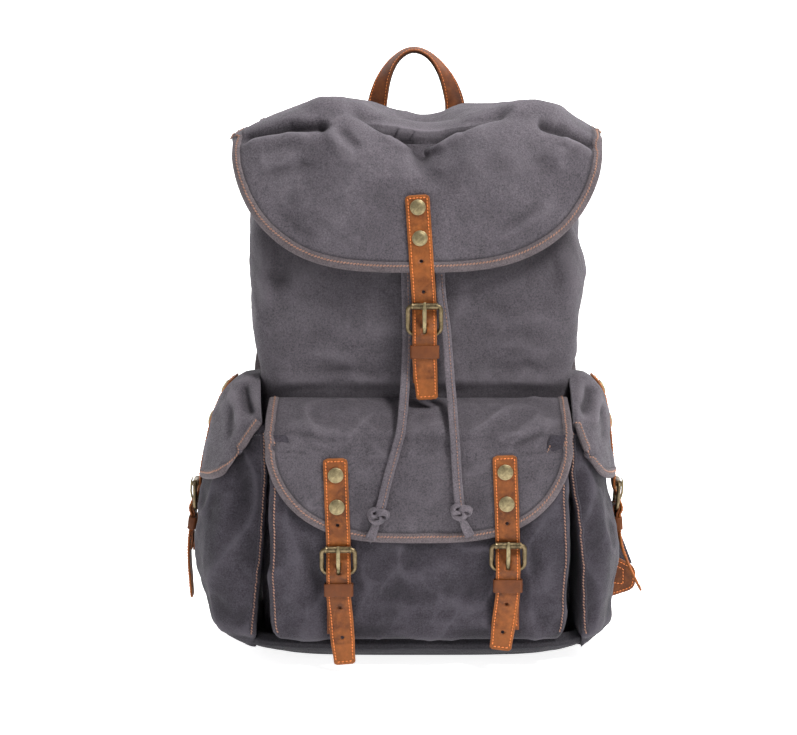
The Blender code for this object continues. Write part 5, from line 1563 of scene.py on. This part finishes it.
def make_straps():
    out = []
    flat = lambda top, stop, step: [(top + i * (stop - top) / step, 1.4) for i in range(step + 1)]
    front, fdown = (0, -1, 0), (0, 0, -1)
    out.append(Strap("top", (6.0, LID_FRONT, 311.0), (1, 0, 0), front, fdown, 24.0, 39.0, 80.0, (-83.5, -57.5),
                     (-37.5, -12.5), flat(-94.0, -24.0, 10) + [(-16, 1.3), (-8, 0.3)],
                     [(56, 2.3), (64, 2.0), (72, 2.0), (77, 2.0), (80, 2.0)],
                     [(-94, -6.5), (0, 0.0), (46, 0.2), (80, 2.4)], 66.0, "lid"))
    out.append(Strap("front_left", (-67.0, FLAP_Y, 107.0), (1, 0, 0), front, fdown, 21.0, 35.0, 100.0, (-64.0, -36.0),
                     (-20.0, 51.0, 76.0), flat(-78.0, -8.0, 8) + [(-7.2, 1.35), (-3.5, 0.2)],
                     [(51, 2.4), (58, 2.0), (70, 2.0), (84, 2.4), (94, 2.6), (98, 2.8), (100, 2.8)],
                     [(-78, -2.4), (0, 0.0), (42, 0.2), (100, 5.5)], 74.0, "pocket_flap"))
    out.append(Strap("front_right", (76.8, FLAP_Y, 110.5), (1, 0, 0), front, fdown, 21.0, 35.0, 91.0, (-62.5, -35.0),
                     (-19.0, 51.0, 76.0), flat(-77.0, -8.0, 8) + [(-7.2, 1.35), (-3.5, 0.2)],
                     [(51, 2.4), (58, 2.0), (68, 2.0), (78, 2.2), (86, 2.4), (89, 2.4), (91, 2.4)],
                     [(-77, -3.4), (0, 0.0), (42, 0.0), (91, -6.2)], 74.0, "pocket_flap"))
    for key, table, sx, ox, tilt, tail in (
            ("side_left", FLAP_LEFT, -1, -192.2, 8.0,
             [(50, 3.1), (60, 2.4), (74, 0.4), (90, -3.0), (100, -5.0), (104, -5.8)]),
            ("side_right", FLAP_RIGHT, 1, 175.4, 3.0,
             [(50, 3.5), (60, 5.2), (72, 9.0), (84, 13.5), (95, 18.5), (99, 20.5)])):
        a = math.radians(tilt)
        down = (sx * math.sin(a), 0, -math.cos(a))
        outv = (sx * math.cos(a), 0, math.sin(a))
        across = tuple(np.cross(outv, down))
        origin = (ox, SIDE_YC, 145.0)
        upper = [p for p in offset_profile(table, 1.5, origin, outv, down, -13.0) if p[0] < -15] + [(-9.0, 0.6)]
        ts = [p[0] for p in upper]
        out.append(Strap(key, origin, across, outv, down, 22.0, 36.0, tail[-1][0], (ts[0] + 12.0, ts[0] + 42.0),
                         (52.0, 77.0), upper, tail, [(-100, 0), (110, 0)], 60.0, "side_flap_%s_body" % key[5:]))
    return out


# -------------------------------------------------------------------- drawcord
def flat_cord(name, points, hw, ht, mat, twist=0.0, su=None):
    C = resample(catmull(points, 12), step=1.6)
    T = tangents(C)
    F = np.tile([0, -1.0, 0], (len(C), 1))
    tw = twist * np.sin(np.linspace(0, 3.0 * math.pi, len(C)))
    U = norm(np.cross(T, F))
    U = U * np.where(U[:, :1].mean() < 0, -1, 1)
    N = norm(np.cross(U, T))
    N = N * np.sign(-N[:, 1].mean())
    U2 = U * np.cos(tw)[:, None] + N * np.sin(tw)[:, None]
    N2 = N * np.cos(tw)[:, None] - U * np.sin(tw)[:, None]
    prof = [(hw, 0), (hw - 0.25, ht * 0.8), (hw - 0.9, ht), (0.8, ht), (0.5, ht * 0.72), (0.2, ht), (-hw + 0.9, ht),
            (-hw + 0.25, ht * 0.8), (-hw, 0), (-hw + 0.25, -ht * 0.8), (-hw + 0.9, -ht), (hw - 0.9, -ht), (hw - 0.25, -ht * 0.8)]
    ob = sweep(name, C, U2, N2, prof, mat, su=None if su is None else su(np.linspace(0, 1, len(C))))
    return ob, C, U2, N2


def build_drawcords():
    left = [(-15, -73.4, 437), (-11.5, -75.2, 424), (-10.5, -77, 390), (-9.5, -81, 330), (-8.6, -83, 280),
            (-10, -87.5, 252), (-11.2, -96, 233), (-12.5, -108, 220), (-14.5, -119.6, 206), (-17.5, -121.0, 195),
            (-25.5, -120.8, 166), (-30, -121.4, 147), (-32.4, -123.4, 140)]
    right = [(24, -73.6, 437), (20.5, -75.2, 424), (19.5, -77, 390), (19.5, -81, 330), (24.5, -83.5, 290),
             (27.5, -87.5, 252), (29.2, -96, 233), (30, -108, 220), (31, -119.6, 206), (31.8, -121.0, 195),
             (33.6, -120.8, 166), (35, -121.4, 150), (35.8, -123.4, 144)]
    for tag, pts, knot_at, tail in (
            ("left", left, (-33.4, -124.0, 136.5), [(-34.4, -123.2, 131), (-36.5, -121.9, 125), (-40, -121.0, 116.5)]),
            ("right", right, (36.6, -124.0, 140.0), [(37.4, -123.2, 134.5), (40, -121.9, 128), (44.4, -121.0, 118.5)])):
        ob, C, U, N = flat_cord("drawcord_" + tag, pts, 4.15, 0.85, CORD, 0.16)
        st = stitches("drawcord_stitches_" + tag, [(C + U * 1.5 + N * 0.86, N)], THREAD_PALE, 3.0, 2.2, 0.75, 0.45, 0.05)
        # overhand knot of the same strip
        th = np.linspace(0, 2 * math.pi, 150, endpoint=False)
        K = np.stack([(2.1 + np.cos(3 * th)) * np.cos(2 * th) * 2.75, -np.sin(3 * th) * 2.0,
                      (2.1 + np.cos(3 * th)) * np.sin(2 * th) * 1.9], -1) + np.array(knot_at)
        KT = tangents(K, True)
        KF = norm(K - np.array(knot_at) + np.array([0, -3.0, 0]))
        KU = norm(np.cross(KT, KF))
        KN = norm(np.cross(KU, KT))
        kn = sweep("drawcord_knot_" + tag, K, KU, KN, rounded(2.9, 1.15, 0.8, 3), CORD, closed=True)
        t1, TC, TU, TN = flat_cord("drawcord_tail_" + tag, tail, 4.0, 0.9, CORD, 0.1,
                                   su=lambda q: 0.72 + 0.4 * q)
        pieces = [st, kn, t1]
        fray = []
        for j in range(17):
            w = (j / 16 - 0.5) * 8.4
            base = TC[-1] + TU[-1] * w
            d = norm(TC[-1] - TC[-4]) + TU[-1] * (w * 0.05 + 0.18 * math.sin(j * 7.1)) + TN[-1] * 0.15 * math.sin(j * 3.3)
            ln = 2.6 + 1.5 * math.sin(j * 5.7 + 1)
            fray.append((base - norm(d) * 0.8, base + norm(d) * ln * 0.5, base + norm(d) * ln + TN[-1] * 0.2 * math.sin(j)))
        fr = threads("drawcord_fray_" + tag, fray, 0.24, CORD)
        pieces.append(fr)
        if tag == "left":
            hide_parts("drawcord")
        for o in [ob] + pieces:
            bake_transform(o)


def threads(name, runs, r, mat):
    V, F = [], []
    for run in runs:
        C = catmull(run, 3)
        T = tangents(C)
        A = norm(np.cross(T, [0.3, 1.0, 0.2]))
        B = norm(np.cross(T, A))
        base = len(V)
        m = len(C)
        for i in range(m):
            rr = r * (1 - 0.6 * i / (m - 1))
            for j in range(5):
                a = 2 * math.pi * j / 5
                V.append(C[i] + A[i] * rr * math.cos(a) + B[i] * rr * math.sin(a))
        for i in range(m - 1):
            for j in range(5):
                F.append((base + i * 5 + j, base + i * 5 + (j + 1) % 5, base + (i + 1) * 5 + (j + 1) % 5, base + (i + 1) * 5 + j))
        F.append(tuple(base + j for j in range(4, -1, -1)))
        F.append(tuple(base + (m - 1) * 5 + j for j in range(5)))
    return link(name, V, F, mat)


# ---------------------------------------------------------------- grab handle
def build_handle():
    pts = catmull([(-36, 97, 453), (-36.5, 97, 470), (-30, 97, 498), (-19, 97, 517), (-4, 97, 526), (12, 97, 521),
                   (26, 97, 504), (35, 97, 480), (37, 97, 453)], 14)
    C = resample(pts, step=1.4)
    T = tangents(C)
    m = len(C)
    k = np.linspace(0, 1, m)
    turn = np.radians(80) * np.sin(math.pi * k) ** 2
    face = np.array([0, -1.0, 0])
    side = norm(np.cross(T, face))
    U = norm(side * np.cos(turn)[:, None] + face * np.sin(turn)[:, None])
    W = norm(np.cross(U, T))
    hw = 11.0 + (8.5 - 11.0) * np.sin(math.pi * k)
    top, under = 9.8, 9.2
    prof = []
    g = top - 2.2
    for x, y in ((top, 0.0), (top - 0.2, 0.75), (top - 0.8, 1.05), (g + 0.4, 1.1), (g, 0.95), (g - 0.4, 1.1), (0, 1.15)):
        prof.append((x, y))
    prof = prof + [(-x, y) for x, y in prof[-2::-1]] + [(-top + 0.6, -0.75), (0, -0.8), (top - 0.6, -0.75)]
    ew = np.array([1.0 if abs(x) > top - 1.0 else 0.0 for x, y in prof])
    lea = sweep("handle_leather", C + W * 0.85, U, W, prof, BROWN, su=hw / 10.4, attrs={"edge": np.tile(ew, (m, 1))})
    fab = sweep("handle_lining", C - W * 0.8, U, W, rounded(under, 0.75, 0.5, 3), UNDER, su=hw / 10.4)
    runs = []
    for sg in (1, -1):
        runs.append((C[3:-3] + W[3:-3] * 1.95 + U[3:-3] * (sg * g * hw[3:-3] / 10.4)[:, None], W[3:-3]))
        runs.append((C[3:-3] - W[3:-3] * 1.6 + U[3:-3] * (sg * (under - 1.8) * hw[3:-3] / 10.4)[:, None], -W[3:-3]))
    st = stitches("handle_stitches", runs, THREAD, 2.9, 2.2, 0.8, 0.5, 0.1)
    ride(lea, "grab_handle", ["handle"])
    ride(fab, "grab_handle")
    ride(st, "grab_handle")


def plate(name, outline, y0, y1, mat, inset_edge=0.6, n=220, bulge=0.0, attrs=True):
    """Flat shape in the XZ plane with softened edges, from a closed outline."""
    O = resample(np.array(outline, float), count=n, closed=True)
    c = O.mean(0)
    d = tangents(np.column_stack([O, np.zeros(n)]), True)[:, :2]
    nrm = np.column_stack([d[:, 1], -d[:, 0]])
    nrm *= np.sign(((O - c) * nrm).sum(1).mean())
    rows, edge = [], []
    for off, y, e in ((7.5, y0 - bulge, 0), (4.0, y0 - bulge, 0), (1.7, y0 - bulge * 0.5, 0.2), (inset_edge, y0, 0.9), (0.0, y0 + 0.5, 1),
                      (0.0, y1 - 0.5, 1), (inset_edge, y1, 0.9), (1.7, y1 + bulge * 0.5, 0.2), (4.0, y1 + bulge, 0), (7.5, y1 + bulge, 0)):
        # past the softened edge the rows close on the centre, so sharp corners don't fold over
        Q = O - nrm * off if off < 2 else c + (O - nrm * 1.7 - c) * (1 - 0.022 * off)
        rows.append(np.column_stack([Q[:, 0], np.full(n, y), Q[:, 1]]))
        edge.append(np.full(n, e))
    for s in (0.5, 0.04):
        Q = c + (O - nrm * 1.7 - c) * s
        rows.insert(0, np.column_stack([Q[:, 0], np.full(n, y0 - bulge), Q[:, 1]]))
        rows.append(np.column_stack([Q[:, 0], np.full(n, y1 + bulge), Q[:, 1]]))
        edge.insert(0, np.zeros(n))
        edge.append(np.zeros(n))
    ob = sweep_raw(name, np.array(rows))
    ob.data.materials.clear()
    ob.data.materials.append(mat)
    at = ob.data.attributes.new("edge", 'FLOAT', 'POINT')
    vals = np.zeros(len(ob.data.vertices), np.float32)
    flat = np.concatenate(edge)
    vals[:len(flat)] = flat
    at.data.foreach_set("value", vals)
    inner = O - nrm * 2.6
    return ob, inner


def simulate(ob, pressure, cap, voxel, pin=None, frames=20):
    """Inflates a closed form as cloth and keeps the result."""
    rm = ob.modifiers.new("remesh", 'REMESH')
    rm.mode, rm.voxel_size, rm.use_smooth_shade = 'VOXEL', voxel * MM, True
    dg = bpy.context.evaluated_depsgraph_get()
    me = bpy.data.meshes.new_from_object(ob.evaluated_get(dg))
    mats = list(ob.data.materials)
    ob.modifiers.clear()
    ob.data = me
    me.materials.clear()
    for m in mats:
        me.materials.append(m)
    start = np.empty(len(me.vertices) * 3, np.float32)
    me.vertices.foreach_get("co", start)
    start = start.reshape(-1, 3).astype(float)
    mod = ob.modifiers.new("cloth", 'CLOTH')
    cs = mod.settings
    cs.quality = 5
    cs.mass = 0.35
    cs.tension_stiffness = cs.compression_stiffness = 22
    cs.shear_stiffness = 8
    cs.bending_stiffness = 1.2
    cs.use_pressure = True
    cs.uniform_pressure_force = pressure
    cs.effector_weights.gravity = 0.0
    if pin is not None:
        vg = ob.vertex_groups.new(name="pin")
        for i, w in enumerate(pin(start / MM)):
            if w > 0.02:
                vg.add([i], float(w), 'REPLACE')
        cs.vertex_group_mass = "pin"
    mod.point_cache.frame_start, mod.point_cache.frame_end = 1, frames
    for f in range(1, frames + 1):
        SC.frame_set(f)
    dg = bpy.context.evaluated_depsgraph_get()
    ev = ob.evaluated_get(dg).to_mesh()
    co = np.empty(len(ev.vertices) * 3, np.float32)
    ev.vertices.foreach_get("co", co)
    co = co.reshape(-1, 3).astype(float)
    ob.evaluated_get(dg).to_mesh_clear()
    ob.modifiers.clear()
    ob.vertex_groups.clear()
    SC.frame_set(1)
    d = co - start
    ln = np.linalg.norm(d, axis=1, keepdims=True)
    co = start + d * np.minimum(1, cap * MM / np.maximum(ln, 1e-9))
    me.vertices.foreach_set("co", co.astype(np.float32).ravel())
    me.update()
    return co


def set_coords(ob, co):
    ob.data.vertices.foreach_set("co", np.asarray(co, np.float32).ravel())
    ob.data.update()
    ob.data.shade_smooth()


def build_back():
    # padded panel: a slab with pulled-in rim, inflated, then quilted
    prof = [(32, -104, 104), (38, -111, 111), (60, -113, 113), (150, -112, 112), (240, -111, 111), (330, -104, 104),
            (400, -97, 97), (428, -90, 90), (437, -82, 82)]
    rows = []
    for y, inset in ((82.2, 3.2), (83.6, 0.8), (85.6, 0.0), (88.0, 0.6), (89.8, 2.6), (90.4, 5.5)):
        outline = []
        zz = np.linspace(32 + inset, 437 - inset, 60)
        xr = np.interp(zz, [p[0] for p in prof], [p[2] for p in prof]) - inset
        outline = [(x, z) for x, z in zip(xr, zz)] + [(-x, z) for x, z in zip(xr[::-1], zz[::-1])]
        O = resample(np.array(outline), count=200, closed=True)
        rows.append(np.column_stack([O[:, 0], np.full(200, y), O[:, 1]]))
    ob = sweep_raw("back_pad", np.array(rows))
    ob.data.materials.clear()
    ob.data.materials.append(MESH)
    co = simulate(ob, 4.0, 3.4, 5.0, pin=lambda p: np.where(p[:, 1] < 83.0, 1.0, 0.0)) / MM
    # sewn channels: a spine and two slanted runs each side
    rear = sm((co[:, 1] - 86.5) / 2.5)
    x, z = co[:, 0], co[:, 2]
    dist = np.minimum.reduce([np.abs(x - 0.0) + 0 * z, np.abs(np.abs(x) - 58),
                              np.where(np.abs(x) < 58, np.abs((z - 130 - 0.25 * np.abs(x))), 99),
                              np.where(np.abs(x) < 58, np.abs((z - 235 - 0.25 * np.abs(x))), 99),
                              np.where(np.abs(x) < 58, np.abs((z - 340 - 0.25 * np.abs(x))), 99)])
    co[:, 1] -= rear * 3.6 * np.exp(-(dist / 5.0) ** 2)
    co[:, 1] = np.clip(co[:, 1], 81.0, 95.5)
    set_coords(ob, co * MM)
    sub = ob.modifiers.new("round", 'SUBSURF')
    sub.levels = sub.render_levels = 1
    ride(ob, "bag", ["back_panel"])
    # bound rim of the panel
    zz = np.linspace(33, 436, 70)
    xr = np.interp(zz, [p[0] for p in prof], [p[2] for p in prof]) + 1.2
    outline = [(x, z) for x, z in zip(xr, zz)] + [(-x, z) for x, z in zip(xr[::-1], zz[::-1])]
    O = resample(np.array(outline), count=300, closed=True)
    for _ in range(6):
        O = (np.roll(O, 1, 0) + 2 * O + np.roll(O, -1, 0)) / 4
    C = np.column_stack([O[:, 0], np.full(300, 83.6), O[:, 1]])
    T = tangents(C, True)
    Y = np.tile([0, 1.0, 0], (300, 1))
    U = norm(np.cross(T, Y))
    rim = sweep("back_pad_binding", C, U, Y, rounded(3.2, 1.9, 1.2, 3), BINDING, closed=True)
    ride(rim, "bag")
    st = stitches("back_pad_stitches", [(np.vstack([C, C[:1]]) + [0, 1.95, 0], np.tile([0, 1.0, 0], (301, 1)))], THREAD_PALE,
                  3.3, 2.4, 0.85, 0.5)
    ride(st, "bag")
    # leather yoke that the handle and the shoulder straps are sewn under
    outl = []
    for cx, cz, a0 in ((74, 445, 0), (-74, 445, 90), (-74, 424, 180), (74, 424, 270)):
        for i in range(7):
            a = math.radians(a0 + 15 * i)
            outl.append((cx + 8 * math.cos(a), cz + 8 * math.sin(a)))
    # the yoke plate; boxed stitches further down hold the handle's feet
    yk, inner = plate("yoke", outl, 93.6, 96.2, TAN)
    ride(yk, "bag")
    Cin = np.column_stack([inner[:, 0], np.full(len(inner), 96.3), inner[:, 1]])
    Cin = np.vstack([Cin, Cin[:1]])
    runs = [(Cin, np.tile([0, 1.0, 0], (len(Cin), 1)))]
    for sx in (-1, 1):
        bx = []
        for p in ((-9, 430), (9, 448), (9, 430), (-9, 448), (-9, 430), (9, 430), (9, 448), (-9, 448)):
            bx.append((sx * 36.5 + p[0], 96.3, p[1]))
        b = resample(np.array(bx, float), step=1.5)
        runs.append((b, np.tile([0, 1.0, 0], (len(b), 1))))
    ys = stitches("yoke_stitches", runs, THREAD, 3.0, 2.3, 0.85, 0.5, 0.1)
    ride(ys, "bag")
    # canvas facing that joins the yoke to the bag
    fz = []
    for x in np.linspace(-80, 80, 40):
        fz.append([(x, 79.8, 453.5), (x, 84, 454.6), (x, 90, 452.2), (x, 93.4, 448.6), (x, 93.5, 436), (x, 93.4, 421),
                   (x, 90.5, 418.5), (x, 80.0, 418.5)])
    fz = np.array(fz, float)
    fz[..., 2] -= 3.0 * (np.abs(fz[..., 0]) / 80.0) ** 4
    fc = sweep_raw("yoke_facing", fz)
    fc.data.materials.clear()
    fc.data.materials.append(CANVAS)
    ride(fc, "bag")


def build_shoulder(tag, sx):
    tip = 205.0 if sx > 0 else 192.0
    body = "shoulder_" + tag
    pts = catmull([(sx * 50, 102, 422), (sx * 55, 114, 427), (sx * 64, 129, 405), (sx * 80, 143, 358),
                   (sx * 100, 149, 298), (sx * 118, 145, 240), (sx * 132, 133, 190), (sx * 140, 124, 165)], 12)
    C = resample(pts, step=5.0)
    m = len(C)
    T = tangents(C)
    F = np.array([0, 1.0, 0.3]) + np.zeros((m, 3))
    F[:8, 2] = np.linspace(0.55, 0.3, 8)
    U = norm(np.cross(T, F))
    N = norm(np.cross(U, T))
    N *= np.sign(N[:, 1].mean())
    q = np.linspace(0, 1, m)
    hw = 22 + 8 * sm(q / 0.3) - 15 * sm((q - 0.74) / 0.26)
    # built a little small: the pressure fills it out
    prof = [(math.copysign(abs(math.cos(a)) ** 0.55, math.cos(a)), math.copysign(abs(math.sin(a)) ** 0.55, math.sin(a)))
            for a in np.linspace(0, 2 * math.pi, 28, endpoint=False)]
    prof = [(x * 1.0, y * 4.2) for x, y in prof]
    ends = np.minimum(1, 0.55 + 0.45 * sm(np.minimum(np.arange(m), m - 1 - np.arange(m)) / 2.0))
    ob = sweep("shoulder_pad_" + tag + "_soft", C, U, N, prof, MESH, su=(hw - 0.2) * ends, sn=ends)
    ob.data.materials.append(CANVAS)
    tree = BVHTree.FromPolygons([Vector(p) for p in np.vstack([C - U * 1e-3, C + U * 1e-3])],
                                [(i, i + 1, m + i + 1, m + i) for i in range(m - 1)])
    co = simulate(ob, 4.0, 2.6, 5.0) / MM
    # a quilted line along each side of the pad
    d = np.linalg.norm(co[:, None] - C[None], axis=2)
    i = d.argmin(1)
    across = ((co - C[i]) * U[i]).sum(1)
    up = ((co - C[i]) * N[i]).sum(1)
    rel = np.abs(across) / (hw[i] - 1.0)
    groove = np.exp(-(((rel - 0.74) * hw[i]) / 3.4) ** 2)
    co = co - N[i] * (np.sign(up) * groove * 1.9 * sm(np.abs(up) / 1.6))[:, None]
    set_coords(ob, co * MM)
    me = ob.data
    for p in me.polygons:
        c = np.array(p.center) / MM
        j = int(np.argmin(np.linalg.norm(C - c, axis=1)))
        p.material_index = 0 if np.array(p.normal) @ N[j] > 0.1 else 1
    sub = ob.modifiers.new("round", 'SUBSURF')
    sub.levels = sub.render_levels = 1
    ride(ob, body, ["shoulder_pad_" + tag])
    # binding round the pad
    k = slice(1, m - 1)
    L, R = C[k] - U[k] * (hw[k] - 0.7)[:, None], C[k] + U[k] * (hw[k] - 0.7)[:, None]
    loop = np.vstack([L, [C[-1] + T[-1] * 0.5], R[::-1], [C[0] - T[0] * 0.5]])
    nl = np.vstack([N[k], N[-1:], N[k][::-1], N[:1]])
    both = resample(np.hstack([loop, nl]), count=260, closed=True)
    BC, BN = both[:, :3], norm(both[:, 3:])
    for _ in range(3):
        BC = (np.roll(BC, 1, 0) + 2 * BC + np.roll(BC, -1, 0)) / 4
    BT = tangents(BC, True)
    BU = norm(np.cross(BT, BN))
    BN = norm(np.cross(BU, BT))
    bd = sweep("shoulder_binding_" + tag, BC, BU, BN, rounded(3.6, 1.7, 1.0, 3), BINDING, closed=True)
    ride(bd, body)
    bs = stitches("shoulder_stitches_" + tag, [(np.vstack([BC, BC[:1]]) + np.vstack([BN, BN[:1]]) * 1.75, np.vstack([BN, BN[:1]]))],
                  THREAD_PALE, 3.3, 2.4, 0.85, 0.5)
    ride(bs, body)

    # webbing from the pad to the bottom corner
    web = catmull([(sx * 131, 123.2, 190), (sx * 141.5, 113.5, 160), (sx * 160, 94, 120), (sx * 178, 78, 80),
                   (sx * (tip - 14), 68.5, 47)], 12)
    WC = resample(web, step=1.8)
    axis = np.tile([0, 1.0, 0.45], (len(WC), 1))
    WT = tangents(WC)
    WU = norm(np.cross(WT, axis))
    WN = norm(np.cross(WU, WT))
    prof = [(12.5, 0), (12.2, .55), (11.5, .8), (10.4, .62), (9.6, .8), (4, .78), (3.6, .6), (3.2, .78), (-3.2, .78), (-3.6, .6),
            (-4, .78), (-9.6, .8), (-10.4, .62), (-11.5, .8), (-12.2, .55), (-12.5, 0), (-12.2, -.55), (-11.5, -.8), (11.5, -.8), (12.2, -.55)]
    wb = sweep("webbing_" + tag, WC, WU, WN, prof, WEB)
    ride(wb, body, ["lower_strap_" + tag])
    # leather chape between pad and webbing
    i = int(len(WC) * 0.02)
    tabC = resample(np.vstack([C[-5:-1], WC[2:14]]), step=1.5)
    tabT = tangents(tabC)
    tabU = norm(np.cross(tabT, np.tile([0, 1.0, 0.4], (len(tabC), 1))))
    tabN = norm(np.cross(tabU, tabT))
    tabN *= np.sign(tabN[:, 1].mean())
    tb = sweep("shoulder_tab_" + tag, tabC + tabN * 4.2, tabU, tabN, rounded(13.0, 1.0, 0.7, 3), BROWN,
               sn=np.ones(len(tabC)))
    ride(tb, body)

    # three-bar slide on the webbing
    w4 = catmull([(sx * 131, 123.2, 190), (sx * 141.5, 113.5, 160), (sx * 160, 94, 120), (sx * 178, 78, 80),
                  (sx * (tip - 14), 68.5, 47)], 4)
    i = len(w4) // 2 + 1
    t = norm(w4[i + 1] - w4[i - 1])
    u = norm(np.cross(t, [0, 1.0, 0.45]))
    w = norm(np.cross(u, t))
    c = w4[i]
    pts = []
    for cu, ct, a0 in ((14.6, 8.2, 0), (-14.6, 8.2, 90), (-14.6, -8.2, 180), (14.6, -8.2, 270)):
        for j in range(7):
            a = math.radians(a0 + 15 * j)
            pts.append((cu - math.copysign(2.6, cu) + 2.6 * math.cos(a), ct - math.copysign(2.6, ct) + 2.6 * math.sin(a)))
    pts = resample(np.array(pts), count=84, closed=True)
    SCn = c + u * pts[:, :1] + t * pts[:, 1:]
    ST = tangents(SCn, True)
    SN = np.tile(w, (len(SCn), 1))
    SU = norm(np.cross(ST, SN))
    bow = 2.1
    SCn = SCn + SN * (bow * np.where(np.abs(pts[:, 1:]) > 7.0, 0.9, 1.1))
    sl = sweep("slide_" + tag, SCn, SU, SN, [(1.9 * math.cos(a), 1.35 * math.sin(a)) for a in np.linspace(0, 2 * math.pi, 12, endpoint=False)],
               BRASS, closed=True)
    ride(sl, "slider_" + tag, ["adjuster_" + tag])
    bar = np.array([c + u * x - w * 2.2 for x in np.linspace(-13.4, 13.4, 12)])
    br = sweep("slide_bar_" + tag, bar, np.tile(t, (12, 1)), np.tile(w, (12, 1)), rounded(2.4, 1.0, 0.8, 3), BRASS)
    ride(br, "slider_" + tag)
    ends = []
    for sg in (1, -1):
        arm = np.array([c + u * sg * 13.9 + w * q for q in np.linspace(-2.6, 2.8, 8)])
        ends.append(sweep("slide_arm_%s_%s" % (tag, "a" if sg > 0 else "b"), arm, np.tile(t, (8, 1)), np.tile(u, (8, 1)),
                          rounded(2.6, 1.1, 0.8, 3), BRASS))
    for e in ends:
        ride(e, "slider_" + tag)

    # leather corner anchor: one thick plate, stitched round and boxed where the webbing ends, on both faces
    x0 = 137.0 if sx > 0 else 140.2
    mid = x0 + (tip - x0) * 0.55
    poly = [(x0, 12), (x0, 47), (x0, 82), (mid, 66), (tip - 4, 52), (tip - 0.6, 47.5), (tip, 40), (tip - 0.6, 32), (tip - 4, 28),
            (x0 + (tip - x0) * 0.5, 18)]
    P2 = resample(np.array([(sx * a, b) for a, b in poly], float), count=260, closed=True)
    for _ in range(14):
        P2 = (np.roll(P2, 1, 0) + 2 * P2 + np.roll(P2, -1, 0)) / 4
    an, inner = plate("anchor_" + tag + "_leather", P2, 58.4, 62.6, HIDE, 0.5, 240, 0.5)
    ride(an, "bag", ["anchor_" + tag])
    runs = []
    for y, ny in ((57.8, -1.0), (63.2, 1.0)):
        R = np.column_stack([inner[:, 0], np.full(len(inner), y), inner[:, 1]])
        runs.append((np.vstack([R, R[:1]]), np.tile([0, ny, 0], (len(R) + 1, 1))))
        bx = resample(np.array([(sx * (tip - 12), y, 34), (sx * (tip - 30), y, 36), (sx * (tip - 30), y, 56), (sx * (tip - 12), y, 48),
                                (sx * (tip - 12), y, 34)], float), step=1.5)
        runs.append((bx, np.tile([0, ny, 0], (len(bx), 1))))
    s2 = stitches("anchor_stitches_" + tag, runs, THREAD, 3.0, 2.3, 0.85, 0.5, 0.1)
    ride(s2, "bag")


def main():
    build_bag()
    build_lid()
    build_pocket()
    build_pocket_flap()
    build_side_pocket("left", SIDE_LEFT, RIDGE_L, -1)
    build_side_pocket("right", SIDE_RIGHT, RIDGE_R, 1)
    build_base()
    build_side_flap("left", FLAP_LEFT, -1)
    build_side_flap("right", FLAP_RIGHT, 1)
    for s in make_straps():
        build_strap(s)
    build_drawcords()
    build_handle()
    build_back()
    build_shoulder("left", -1)
    build_shoulder("right", 1)


main()
